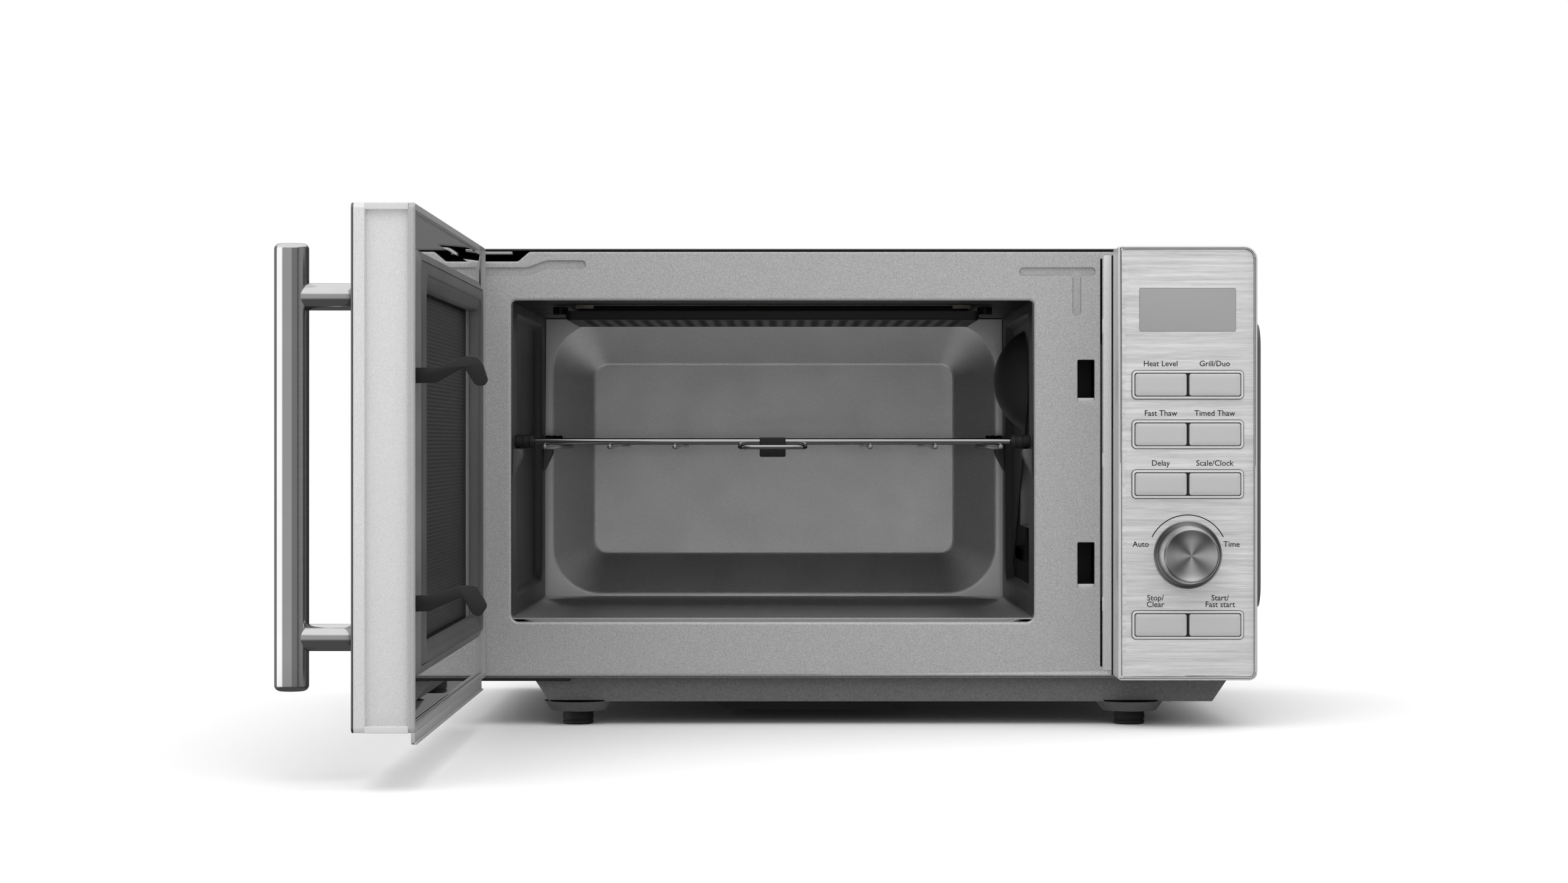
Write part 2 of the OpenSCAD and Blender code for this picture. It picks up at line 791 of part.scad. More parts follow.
module interlock_bracket() {
    x = [latch_x - 16, latch_x + 14];
    y = [y_frame + sheet, y_frame + 41];
    z = [hook_z[0] - 21, hook_z[1] + 23];
    color(black)
    difference() {
        block([x[0], y[0], z[0]], [x[1], y[1], z[1]]);
        for (hook = hook_z) {
            block([latch_x - 6.5, y[0] - overlap, hook - 13], [latch_x + 6.5, y[1] - 2.5, hook + 15]);
        }
        block([x[0] - overlap, y[0] + 3, hook_z[0] + 24], [x[1] - 6, y[1] + overlap, hook_z[1] - 24]);
    }
}

module interlock_switches() {
    x = latch_x + 14;
    color(dark_grey)
    for (z = [hook_z[0] - 10, hook_z[1] - 15, hook_z[1] + 4]) {
        block([x, y_frame + 8, z], [x + 10, y_frame + 36, z + 16]);
        for (pin = [14, 24]) {
            block([x + 10, y_frame + pin, z + 7], [x + 15, y_frame + pin + 5, z + 8]);
        }
    }
}

module filter_board() {
    y = inner_back - 6;
    x = [fan_x - 34, fan_x + 34];
    z = [z_top - 60, z_top - 12];
    color("darkgreen")
    difference() {
        block([x[0], y - 1.6, z[0]], [x[1], y, z[1]]);
        block([x[0] - overlap, y - 2, z[1] - 6], [x[0] + 8, y + 1, z[1] + overlap]);
    }
    color(copper) bar_y([fan_x - 14, y - 19.6, z[0] + 22], 22, 18);
    color(ceramic) block([fan_x + 8, y - 13.6, z[0] + 10], [fan_x + 28, y - 1.6, z[0] + 32]);
    color(steel)
    for (px = [x[0] + 12, x[1] - 6], pz = [z[0] + 6, z[1] - 12]) {
        block([px - 3, y, pz - 3], [px + 3, inner_back, pz + 3]);
    }
}

// ---- Control panel ----

// Outline of the panel seen from the front, drawn in by inset
module panel_outline(inset) {
    big = 8 - inset;
    small = 5 - inset;
    a = [panel_x[0] + inset, z_case + inset];
    b = [panel_x[1] - inset, z_top - inset];
    translate(a) square([b.x - a.x - big, b.y - a.y]);
    translate([a.x, a.y + small]) square([b.x - a.x, b.y - a.y - small - big]);
    translate([b.x - big, b.y - big]) circle(big);
    translate(a) square([b.x - a.x - small, b.y - a.y - big]);
    translate([b.x - small, a.y + small]) circle(small);
}

module at_buttons() {
    for (z = button_rows, side = [-1, 1]) {
        translate([panel_mid + side * button_pitch / 2, z]) children();
    }
}

// Openings shared by the fascia and the wall behind it
module panel_openings(gap) {
    display = [display_w, display_h] / 2 + [gap, gap];
    hole = surround / 2 + [gap, gap];
    translate([panel_mid, display_z]) rounded(-display, display, 1);
    for (z = button_rows) {
        translate([panel_mid, z]) rounded(-hole, hole, 2);
    }
}

module panel_housing() {
    back = y_frame;
    color(steel)
    difference() {
        upright(y_front, back - y_front) panel_outline(0);
        upright(y_front - overlap, fascia_t + overlap) panel_outline(bezel_t);
        upright(y_front + fascia_t + front_wall, back - y_front) panel_outline(2.2);
        upright(y_front, fascia_t + front_wall + overlap) panel_openings(-1.2);
        bar_y([panel_mid, y_front, knob_z], 14, fascia_t + front_wall + overlap);
    }
}

module panel_fascia() {
    color(brushed)
    difference() {
        upright(y_front, fascia_t) panel_outline(bezel_t);
        upright(y_front - overlap, fascia_t + 2 * overlap) panel_openings(0);
        bar_y([panel_mid, y_front - overlap, knob_z], 14, fascia_t + 2 * overlap);
    }
}

module display_window() {
    half = [display_w, display_h] / 2;
    color(dark_grey)
    upright(y_front, fascia_t)
        translate([panel_mid, display_z]) rounded(-half, half, 1);
}

module button_surrounds() {
    outer = surround / 2;
    inner = outer - [surround_rim, surround_rim];
    proud = 0.3;
    color(black)
    for (z = button_rows) {
        difference() {
            upright(y_front - proud, fascia_t + proud)
                translate([panel_mid, z]) rounded(-outer, outer, 2);
            upright(y_front - overlap, fascia_t + 2 * overlap)
                translate([panel_mid, z]) rounded(-inner, inner, 1.4);
        }
    }
}

// Button k, counted along the rows from the top left
module button(k) {
    z = button_rows[floor(k / 2)];
    x = panel_mid + (k % 2 - 0.5) * button_pitch;
    half = [button_w, button_h] / 2;
    proud = 1.2;
    body = 2.4;
    color(steel) {
        upright(y_front - proud, proud + body) translate([x, z]) rounded(-half, half, 1);
        block([x - 4, y_front + body, z - 3], [x + 4, board_y - button_travel - 0.6, z + 3]);
    }
}

module button_1() { button(0); }
module button_2() { button(1); }
module button_3() { button(2); }
module button_4() { button(3); }
module button_5() { button(4); }
module button_6() { button(5); }
module button_7() { button(6); }
module button_8() { button(7); }

module knob_ring() {
    ring_h = 1.6;
    color(steel)
    difference() {
        bar_y([panel_mid, y_front - ring_h, knob_z], ring_d, ring_h);
        bar_y([panel_mid, y_front - ring_h - overlap, knob_z], knob_d + 1.4, ring_h + 2 * overlap);
    }
}

module encoder() {
    back = y_front + fascia_t + front_wall;
    color(steel) {
        block([panel_mid - 8, back, knob_z - 8], [panel_mid + 8, board_y, knob_z + 8]);
        bar_y([panel_mid, y_front - 12, knob_z], knob_shaft_d, 17);
    }
}

module knob() {
    foot = 1;
    face_d = knob_d - 4;
    color(brushed)
    difference() {
        union() {
            bar_y([panel_mid, y_front - 3.4, knob_z], knob_d, 3.4 - foot);
            bar_y([panel_mid, y_front - foot - knob_h, knob_z], face_d, knob_h);
        }
        bar_y([panel_mid, y_front - 13, knob_z], knob_shaft_d + 2 * running_gap, 14);
    }
}

module control_board() {
    board_t = 1.6;
    color("darkgreen")
    block([panel_x[0] + 10, board_y, z_case + 20], [panel_x[1] - 10, board_y + board_t, z_top - 22]);
    color(black) {
        block([panel_mid - 26, y_front + fascia_t + front_wall + 0.5, display_z - 11],
              [panel_mid + 26, board_y, display_z + 11]);
        block([panel_mid - 18, board_y + board_t, z_case + 150],
              [panel_mid + 18, board_y + 16, z_case + 186]);
        for (side = [-1, 1], z = [z_case + 26, z_case + 118.5, z_top - 30]) {
            block([panel_mid + side * 28 - 3, y_front + fascia_t + front_wall, z - 3],
                  [panel_mid + side * 28 + 3, board_y, z + 3]);
        }
    }
}

// ---- Hinges ----

// Plate with a round nose about the hinge pin, and a root of this size behind the frame's plane
module hinge_plate(z, root) {
    translate([0, 0, z]) linear_extrude(hinge_t) {
        translate(pivot) circle(tongue_w / 2);
        translate([root_x, pivot.y]) square([pivot.x + tongue_w / 2 - root_x, y_frame - pivot.y + overlap]);
        translate([root_x, y_frame]) square(root);
    }
}

module upper_hinge() {
    z = z_top - 3.6;
    color(chrome) {
        hinge_plate(z, [29, frame_rim + 2]);
        translate([pivot.x, pivot.y, z - 15]) cylinder(d = pin_d, h = 15);
    }
}

module lower_hinge() {
    z = z_case - sheet - hinge_t;
    color(black) {
        hinge_plate(z, [64, pan_y[0] - y_frame - seam]);
        translate([pivot.x, pivot.y, z]) cylinder(d = pin_d, h = 18);
    }
}

// ---- Rack ----

module wire_rack() {
    low = rack_z - (bar_d + wire_d) / 2 + 0.2;
    first = rack_x[0] + 18.3;
    inner = [first + 3 * wire_pitch, first + 4 * wire_pitch];
    front = rack_y[0] - 2 - loop_r;
    color(chrome) {
        for (y = rack_y) {
            bar_x([rack_x[0] + 2, y, rack_z], bar_d, rack_x[1] - rack_x[0] - 4);
        }
        for (k = [0:wire_count - 1]) {
            start = k == 3 || k == 4 ? front + loop_r : rack_y[0] - 2;
            bar_y([first + k * wire_pitch, start, low], wire_d, rack_y[1] + 2 - start);
        }
        bar_x([inner[0] + loop_r, front, low], wire_d, inner[1] - inner[0] - 2 * loop_r);
        translate([inner[0] + loop_r, front + loop_r, low])
            rotate([0, 0, 180]) rotate_extrude(angle = 90) translate([loop_r, 0]) circle(d = wire_d);
        translate([inner[1] - loop_r, front + loop_r, low])
            rotate([0, 0, 270]) rotate_extrude(angle = 90) translate([loop_r, 0]) circle(d = wire_d);
    }
}

module rack_caps() {
    clip = [16, 6, 12];
    color(black) {
        for (y = rack_y) {
            difference() {
                bar_x([rack_x[0], y, rack_z], cap_d, cap_len);
                bar_x([rack_x[0] + 2, y, rack_z], bar_d, cap_len);
            }
            difference() {
                bar_x([rack_x[1] - cap_len, y, rack_z], cap_d, cap_len);
                bar_x([rack_x[1] - cap_len - 2, y, rack_z], bar_d, cap_len);
            }
        }
        difference() {
            translate([cav_mid, rack_y[0], rack_z - 3.5]) cube(clip, center = true);
            bar_x([cav_mid - clip.x, rack_y[0], rack_z], bar_d, 2 * clip.x);
        }
    }
}

// ---- Door ----

// Turns a shut door to the angle at which it is drawn
module door_swing() {
    translate([pivot.x, pivot.y, 0])
        rotate([0, 0, -door_angle])
            translate([-pivot.x, -pivot.y, 0]) children();
}

// Room in the door for the upper hinge's plate and for the swing of its inner corner
module hinge_room() {
    block([door_x[0] - overlap, depth(8), z_top - 5], [pivot.x + 10, depth(door_t + 1), z_top + overlap]);
    for (z = [[z_case - overlap, z_case + 15.5], [z_top - 20, z_top]]) {
        translate([pivot.x, pivot.y, z[0]]) cylinder(d = pin_d + 2 * running_gap, h = z[1] - z[0]);
    }
    translate([0, 0, z_case - overlap])
    linear_extrude(case_h + 2 * overlap)
    difference() {
        translate([door_x[0] - overlap, depth(door_t - 6)]) square([6 + overlap, 6 + overlap]);
        translate([door_x[0] + 6, depth(door_t - 6)]) circle(6);
    }
}

module door_frame() {
    pocket_ledge = 3.5;
    pocket = [7, 28];
    color(paint)
    door_swing()
    difference() {
        upright(depth(skin), door_t - skin) rounded([door_x[0], door_z[0]], [door_x[1], door_z[1]], 3);
        upright(depth(0), door_t + overlap)
            rounded([choke_x[0] + 3.5, choke_z[0]], [choke_x[1] - 0.5, choke_z[1]], 4);
        upright(depth(flange_at), door_t)
            rounded([door_x[0] + rim_w, door_z[0] + rim_w], [door_x[1] - rim_w, door_z[1] - rim_w], 2);
        block([door_x[1] - 4, depth(pocket[0]), door_z[0] + pocket_ledge],
              [door_x[1] + overlap, depth(pocket[1]), door_z[1] - pocket_ledge]);
        block([latch_x - 5, depth(pawl_at[0] - pawl_gap), pawl_z[0] - 3],
              [latch_x + 5, depth(pawl_at[1] + pawl_gap), spring_z[1]]);
        for (z = hook_z) {
            block([latch_x - 3.4, depth(pawl_at[0]), z - 12.5], [latch_x + 3.4, depth(door_t), z + 12.5]);
        }
        hinge_room();
    }
}

module door_fascia() {
    glass_x = [window_x[0] + 4, window_x[1] - 4];
    glass_z = [window_z[0] - 6, window_z[1] + 6];
    color(brushed)
    door_swing()
    difference() {
        upright(depth(0), skin) rounded([door_x[0], door_z[0]], [door_x[1], door_z[1]], 3);
        upright(depth(-1), skin + 2) rounded([glass_x[0], glass_z[0]], [glass_x[1], glass_z[1]], 4);
        for (z = [handle_z - post_pitch / 2, handle_z + post_pitch / 2]) {
            bar_y([handle_x, depth(-1), z], screw_d, skin + 2);
        }
    }
}

module door_glass() {
    color(black)
    door_swing()
    upright(depth(skin), glass_t)
        rounded([window_x[0] - 6, window_z[0] - 12], [window_x[1] + 8, window_z[1] + 12], 3);
}

module door_screen() {
    color(dark_grey)
    door_swing()
    upright(depth(screen_at), sheet)
        rounded([window_x[0] - 10, window_z[0] - 9], [window_x[1] + 12, window_z[1] + 9], 3);
}

// Skirt of the choke cover around the window
module skirt_outline(grow) {
    rounded([window_x[0] - grow, window_z[0] - grow], [window_x[1] + grow, window_z[1] + grow], 4 + grow);
}

module door_inner_panel() {
    border = 5;
    skirt = 3;
    color(steel)
    door_swing()
    difference() {
        union() {
            upright(depth(flange_at), sheet)
                rounded([door_x[0] + rim_w, door_z[0] + rim_w], [door_x[1] - rim_w, door_z[1] - rim_w], 2);
            upright(depth(flange_at), door_t - flange_at)
                rounded([choke_x[0], choke_z[0]], [choke_x[1], choke_z[1]], 10);
            upright(depth(screen_at + sheet), flange_at - screen_at) skirt_outline(skirt + sheet);
        }
        upright(depth(flange_at + sheet), door_t)
            rounded([choke_x[0] + border, choke_z[0] + border],
                    [choke_x[1] - border, choke_z[1] - border], 7);
        upright(depth(screen_at), door_t) skirt_outline(skirt);
        for (z = hook_z) {
            block([latch_x - 3.6, depth(flange_at - 1), z - 12.5], [latch_x + 3.6, depth(door_t), z + 12.5]);
        }
        hinge_room();
    }
    color(paint)
    door_swing() {
        lip_x = [pivot.x + 22, door_x[1] - 1];
        block([lip_x[0], depth(door_t - 2), z_case - lip_h], [lip_x[1], depth(door_t), z_case]);
        block([lip_x[0], depth(door_t - 2), z_case - lip_h],
              [lip_x[1], depth(door_t + 1), z_case - lip_h + 1]);
    }
}

module choke_cover() {
    border = 5;
    skirt = 3;
    color(dark_grey)
    door_swing()
    difference() {
        union() {
            upright(depth(flange_at + sheet), door_t - flange_at - sheet)
                rounded([choke_x[0] + border, choke_z[0] + border],
                        [choke_x[1] - border, choke_z[1] - border], 7);
            upright(depth(screen_at + sheet), door_t - screen_at - sheet) skirt_outline(skirt);
        }
        upright(depth(screen_at), door_t) skirt_outline(0);
    }
}

module handle_bar() {
    cap = 3;
    color(chrome)
    door_swing()
    translate([handle_x, depth(-handle_stand), handle_z - handle_len / 2]) {
        translate([0, 0, cap]) cylinder(d = handle_d, h = handle_len - 2 * cap);
        cylinder(d = handle_d - 3, h = handle_len);
    }
}

module handle_posts() {
    post_d = 15;
    color(chrome)
    door_swing()
    difference() {
        for (z = [handle_z - post_pitch / 2, handle_z + post_pitch / 2]) {
            bar_y([handle_x, depth(-handle_stand), z], post_d, handle_stand);
        }
        translate([handle_x, depth(-handle_stand), handle_z - handle_len / 2])
            cylinder(d = handle_d, h = handle_len);
        for (z = [handle_z - post_pitch / 2, handle_z + post_pitch / 2]) {
            bar_y([handle_x, depth(-12), z], screw_d, 14);
        }
    }
}

module handle_screws() {
    color(steel)
    door_swing()
    for (z = [handle_z - post_pitch / 2, handle_z + post_pitch / 2]) {
        bar_y([handle_x, depth(-12), z], screw_d, 12 + skin);
        bar_y([handle_x, depth(skin), z], 8, 2.4);
    }
}

module latch_pawl() {
    inner = depth(door_t);
    color(black)
    door_swing() {
        block([latch_x - pawl_w / 2, depth(pawl_at[0]), pawl_z[0]],
              [latch_x + pawl_w / 2, depth(pawl_at[1]), pawl_z[1]]);
        sideways(latch_x - hook_t / 2, hook_t) translate([inner, hook_z[1]]) polygon(upper_hook);
        sideways(latch_x - hook_t / 2, hook_t) translate([inner, hook_z[0]]) polygon(lower_hook);
    }
}

// Point of the latch spring's wire, t from 0 at its foot to 1 at its top
function coil_point(t, turns) = [spring_d / 2 * cos(360 * turns * t), spring_d / 2 * sin(360 * turns * t),
                                 0.5 + t * (spring_z[1] - spring_z[0] - 1)];

module latch_spring() {
    turns = 6;
    steps = 72;
    sides = 8;
    wire_r = 0.45;
    ring = [for (i = [0:steps], s = [0:sides - 1])
            let (t = i / steps, a = 360 * turns * t, b = 360 * s / sides, p = coil_point(t, turns))
            p + wire_r * [cos(b) * cos(a), cos(b) * sin(a), sin(b)]];
    sides_of = [for (i = [0:steps - 1], s = [0:sides - 1])
                [i * sides + s, i * sides + (s + 1) % sides,
                 (i + 1) * sides + (s + 1) % sides, (i + 1) * sides + s]];
    foot = [[for (s = [0:sides - 1]) sides - 1 - s]];
    top = [[for (s = [0:sides - 1]) steps * sides + s]];
    color(steel)
    door_swing()
    translate([latch_x, depth(mid(pawl_at)), spring_z[0]])
        polyhedron(ring, concat(foot, sides_of, top), convexity = 8);
}

base_pan();
base_cover();
rear_plate();
outer_case();
front_frame();
cavity_walls();
cavity_back();
cavity_floor();
grill_heater();
grill_guard();
waveguide();
magnetron();
stirrer_cover();
stirrer();
stirrer_motor();
fan_motor();
fan_blade();
fan_duct();
transformer();
capacitor();
diode();
cavity_lamp();
thermal_cutouts();
interlock_bracket();
interlock_switches();
filter_board();
panel_housing();
panel_fascia();
display_window();
button_surrounds();
knob_ring();
control_board();
encoder();
knob();
button_1();
button_2();
button_3();
button_4();
button_5();
button_6();
button_7();
button_8();
feet();
case_screws();
upper_hinge();
lower_hinge();
cord_gland();
wire_rack();
rack_caps();
door_frame();
door_fascia();
door_glass();
door_inner_panel();
door_screen();
choke_cover();
handle_bar();
handle_posts();
handle_screws();
latch_pawl();
latch_spring();
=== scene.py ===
"""Microwave oven with its door standing open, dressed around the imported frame.

Lengths are in millimetres while a piece is being shaped, and become metres when it is finished.
"""

from __future__ import annotations

import logging
import math
from dataclasses import dataclass
from enum import Enum
from functools import partial
from typing import Iterable, Sequence

import bmesh
import bpy
from mathutils import Matrix, Vector

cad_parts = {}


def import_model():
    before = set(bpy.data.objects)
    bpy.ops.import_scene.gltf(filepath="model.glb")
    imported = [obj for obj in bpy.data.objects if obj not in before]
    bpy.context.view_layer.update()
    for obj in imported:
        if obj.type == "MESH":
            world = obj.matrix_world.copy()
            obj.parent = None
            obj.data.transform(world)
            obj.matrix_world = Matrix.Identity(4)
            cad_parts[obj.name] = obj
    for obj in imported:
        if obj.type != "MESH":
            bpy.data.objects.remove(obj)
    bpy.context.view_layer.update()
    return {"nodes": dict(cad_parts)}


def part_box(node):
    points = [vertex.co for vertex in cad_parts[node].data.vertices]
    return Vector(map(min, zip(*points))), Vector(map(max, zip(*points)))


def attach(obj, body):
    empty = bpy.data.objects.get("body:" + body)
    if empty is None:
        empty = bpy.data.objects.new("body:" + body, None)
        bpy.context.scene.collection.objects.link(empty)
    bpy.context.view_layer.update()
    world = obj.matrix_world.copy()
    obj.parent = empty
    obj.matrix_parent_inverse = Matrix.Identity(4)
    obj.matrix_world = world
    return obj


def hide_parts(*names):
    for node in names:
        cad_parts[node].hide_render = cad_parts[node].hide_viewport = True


LOG = logging.getLogger("oven")
MM = 0.001
SHARP_ANGLE = math.radians(32)
PIVOT_INSET = 5.8
PIN_SETBACK = 7.5

Outline = list[Vector]
Corner = tuple[float, float, float]


class Axis(Enum):
    """Direction in the frame that a grain or a round part follows."""

    X = 0
    Y = 1
    Z = 2


# ---------------------------------------------------------------- outlines


def round_corners(corners: Sequence[Corner], step: float = 12.0) -> Outline:
    """Turns a polygon's corners into arcs.

    Args:
        corners: X, Y and the radius of each corner, in order.
        step: largest angle between two points of an arc, in degrees.

    Returns:
        The points of the closed outline.
    """
    points: Outline = []
    count = len(corners)
    for i, (x, y, radius) in enumerate(corners):
        here = Vector((x, y))
        before = (Vector(corners[i - 1][:2]) - here).normalized()
        after = (Vector(corners[(i + 1) % count][:2]) - here).normalized()
        bend = before.angle(after)
        if radius <= 0 or bend > math.radians(179):
            points.append(here)
            continue
        reach = radius / math.tan(bend / 2)
        centre = here + (before + after).normalized() * (radius / math.sin(bend / 2))
        start = here + before * reach - centre
        sweep = math.pi - bend
        if start.cross(here + after * reach - centre) < 0:
            sweep = -sweep
        parts = max(2, math.ceil(math.degrees(abs(sweep)) / step))
        for k in range(parts + 1):
            points.append(centre + Matrix.Rotation(sweep * k / parts, 2) @ start)
    return points


def rectangle(x0: float, y0: float, x1: float, y1: float, radius: float, step: float = 12.0) -> Outline:
    """Outline of a round-cornered rectangle, anticlockwise."""
    return round_corners([(x0, y0, radius), (x1, y0, radius), (x1, y1, radius), (x0, y1, radius)], step)


def circle(x: float, y: float, radius: float, count: int = 32) -> Outline:
    """Outline of a circle, anticlockwise."""
    turn = math.tau / count
    return [Vector((x + radius * math.cos(k * turn), y + radius * math.sin(k * turn))) for k in range(count)]


def capsule(x: float, y: float, length: float, width: float, count: int = 12) -> Outline:
    """Outline of a level slot with round ends, anticlockwise."""
    reach, radius = (length - width) / 2, width / 2
    arcs = []
    for side in (1, -1):
        for k in range(count // 2 + 1):
            angle = math.pi * k / (count // 2) - math.pi / 2 * side
            arcs.append(Vector((x + side * reach + radius * math.cos(angle), y + radius * math.sin(angle))))
    return arcs


def offset(points: Outline, distance: float) -> Outline:
    """Draws an anticlockwise outline inwards by distance, or outwards if it is negative."""
    moved = []
    count = len(points)
    for i, here in enumerate(points):
        along = (here - points[i - 1]).normalized() + (points[(i + 1) % count] - here).normalized()
        if along.length < 1e-6:
            moved.append(here.copy())
            continue
        along.normalize()
        edge = (points[(i + 1) % count] - here).normalized()
        stretch = 1 / max(0.5, along.dot(edge))
        moved.append(here + Vector((-along.y, along.x)) * distance * stretch)
    return moved


def band(path: Outline, width: float, count: int = 10) -> Outline:
    """Outline of a stripe of that width with round ends, along an open path."""
    half = width / 2
    sides: tuple[Outline, Outline] = ([], [])
    for i, here in enumerate(path):
        ahead = path[min(i + 1, len(path) - 1)] - path[max(i - 1, 0)]
        normal = Vector((-ahead.y, ahead.x)).normalized() * half
        sides[0].append(here + normal)
        sides[1].append(here - normal)
    ends = []
    for i, j in ((-1, 0), (0, -1)):
        centre = path[i]
        start = (sides[1] if i == -1 else sides[0])[i] - centre
        ends.append([centre + Matrix.Rotation(math.pi * k / count, 2) @ start for k in range(1, count)])
    return sides[1] + ends[0] + sides[0][::-1] + ends[1]


def open_path(corners: Sequence[Corner], step: float = 12.0) -> Outline:
    """Open path through corners that have radii, whose two ends stay where they are."""
    first, last = Vector(corners[0][:2]), Vector(corners[-1][:2])
    return round_corners([(*first, 0), *corners[1:-1], (*last, 0)], step)


def s_curve(steps: int) -> list[tuple[float, float]]:
    """Pairs from (0, 0) to (1, 1) along a curve that starts and ends level."""
    return [(k / steps, (k / steps) ** 2 * (3 - 2 * k / steps)) for k in range(steps + 1)]


# ---------------------------------------------------------------- shapes

Ring = tuple[Outline, float]


class Shape:
    """A mesh being built, in millimetres, in its own flat layout: X and Y on the face, Z out of it."""

    def __init__(self) -> None:
        """Starts an empty mesh."""
        self.bm = bmesh.new()

    def ring(self, outline: Outline, height: float) -> list[bmesh.types.BMEdge]:
        """Adds a closed loop of edges at a height and returns its edges."""
        verts = [self.bm.verts.new((p.x, p.y, height)) for p in outline]
        return [self.bm.edges.new((verts[i - 1], verts[i])) for i in range(len(verts))]

    def cap(self, edges: Sequence[bmesh.types.BMEdge]) -> None:
        """Closes one loop of edges with a face."""
        bmesh.ops.edgeloop_fill(self.bm, edges=edges)

    def loft(self, rings: Sequence[Ring], first: bool = True, last: bool = True) -> list[list[bmesh.types.BMEdge]]:
        """Joins rings of equal count one after another.

        Args:
            rings: outline and height of each ring.
            first: whether the first ring is closed with a face.
            last: whether the last ring is closed with a face.

        Returns:
            The edges of each ring.
        """
        loops = [self.ring(outline, height) for outline, height in rings]
        for lower, upper in zip(loops, loops[1:]):
            bmesh.ops.bridge_loops(self.bm, edges=lower + upper)
        if first:
            self.cap(loops[0])
        if last:
            self.cap(loops[-1])
        return loops

    def plain(self, loops: Iterable[Sequence[bmesh.types.BMEdge]]) -> None:
        """Fills the flat region between an outer loop and the loops inside it."""
        edges = [edge for loop in loops for edge in loop]
        bmesh.ops.triangle_fill(self.bm, use_beauty=True, edges=edges)

    def slab(self, outline: Outline, back: float, front: float, edge: float = 0.4, steps: int = 2) -> None:
        """Adds a plate whose front and back edges are rounded by edge."""
        rings = [(offset(outline, edge), back)]
        rings += [(offset(outline, edge * (1 - math.sin(a))), back + edge * (1 - math.cos(a)))
                  for a in (math.pi / 2 * k / steps for k in range(1, steps + 1))]
        rings += [(offset(outline, edge * (1 - math.cos(a))), front - edge * (1 - math.sin(a)))
                  for a in (math.pi / 2 * k / steps for k in range(steps + 1))]
        self.loft(rings)

    def lathe(self, profile: Sequence[tuple[float, float]], steps: int = 48) -> None:
        """Spins a profile of radius and height about Z, closed where its radius is nought."""
        verts = [self.bm.verts.new((radius, 0, height)) for radius, height in profile]
        edges = [self.bm.edges.new(pair) for pair in zip(verts, verts[1:])]
        bmesh.ops.spin(self.bm, geom=verts + edges, cent=(0, 0, 0), axis=(0, 0, 1), angle=math.tau,
                       steps=steps, use_merge=True, use_duplicate=False)
        bmesh.ops.remove_doubles(self.bm, verts=self.bm.verts, dist=1e-4)

    def block(self, low: Sequence[float], high: Sequence[float], edge: float = 0.3, segments: int = 2) -> None:
        """Adds a box between two corners with its edges rounded by edge."""
        size = Vector(high) - Vector(low)
        middle = (Vector(high) + Vector(low)) / 2
        place = Matrix.Translation(middle) @ Matrix.Diagonal((*size, 1))
        made = bmesh.ops.create_cube(self.bm, size=1, matrix=place)
        if edge > 0:
            edges = list({e for v in made["verts"] for e in v.link_edges})
            bmesh.ops.bevel(self.bm, geom=edges, offset=edge, segments=segments, profile=0.5, affect="EDGES",
                            material=-1, clamp_overlap=True)

    def rod(self, start: Sequence[float], end: Sequence[float], radius: float, edge: float = 0.3,
            count: int = 24) -> None:
        """Adds a round bar between two points, with rounded ends."""
        a, b = Vector(start), Vector(end)
        length = (b - a).length
        turn = (b - a).to_track_quat("Z", "Y").to_matrix().to_4x4()
        before = set(self.bm.verts)
        rings = [(circle(0, 0, radius - edge, count), 0), (circle(0, 0, radius - 0.3 * edge, count), 0.3 * edge),
                 (circle(0, 0, radius, count), edge), (circle(0, 0, radius, count), length - edge),
                 (circle(0, 0, radius - 0.3 * edge, count), length - 0.3 * edge),
                 (circle(0, 0, radius - edge, count), length)]
        self.loft(rings)
        new = [v for v in self.bm.verts if v not in before]
        bmesh.ops.transform(self.bm, matrix=Matrix.Translation(a) @ turn, verts=new)

    def tube(self, path: Sequence[Vector], radius: float, count: int = 16) -> None:
        """Adds a round bar along a path of points, closed at both ends."""
        loops = []
        for i, here in enumerate(path):
            ahead = path[min(i + 1, len(path) - 1)] - path[max(i - 1, 0)]
            turn = ahead.to_track_quat("Z", "Y").to_matrix().to_4x4()
            made = bmesh.ops.create_circle(self.bm, radius=radius, segments=count, cap_ends=i in (0, len(path) - 1),
                                           matrix=Matrix.Translation(here) @ turn)
            loops.append(list({e for v in made["verts"] for e in v.link_edges}))
        for lower, upper in zip(loops, loops[1:]):
            bmesh.ops.bridge_loops(self.bm, edges=lower + upper)

    def move(self, matrix: Matrix) -> "Shape":
        """Turns and moves everything built so far, and returns the shape."""
        bmesh.ops.transform(self.bm, matrix=matrix, verts=self.bm.verts)
        return self

    def join(self, other: "Shape") -> None:
        """Takes in another shape's mesh."""
        mesh = bpy.data.meshes.new("part")
        other.bm.to_mesh(mesh)
        self.bm.from_mesh(mesh)
        other.bm.free()
        bpy.data.meshes.remove(mesh)

    def thicken(self, thickness: float) -> None:
        """Gives an open sheet a thickness behind its face."""
        faces = list(self.bm.faces)
        if sum(f.normal.z * f.calc_area() for f in faces) < 0:
            bmesh.ops.reverse_faces(self.bm, faces=faces)
        self.bm.normal_update()
        behind = {v: v.co - v.normal * thickness for v in self.bm.verts}
        rim = [e for e in self.bm.edges if e.is_boundary]
        made = bmesh.ops.duplicate(self.bm, geom=list(self.bm.verts) + list(self.bm.edges) + faces)
        twin = made["vert_map"]
        for vert, place in behind.items():
            twin[vert].co = place
        bmesh.ops.reverse_faces(self.bm, faces=[g for g in made["geom"] if isinstance(g, bmesh.types.BMFace)])
        for edge in rim:
            a, b = edge.verts
            self.bm.faces.new((a, b, twin[b], twin[a]))


FRONT = Matrix.Rotation(math.pi / 2, 4, "X")
"""Turns a face's layout to face the front: X stays, Y goes up, and out of the face goes towards -Y."""


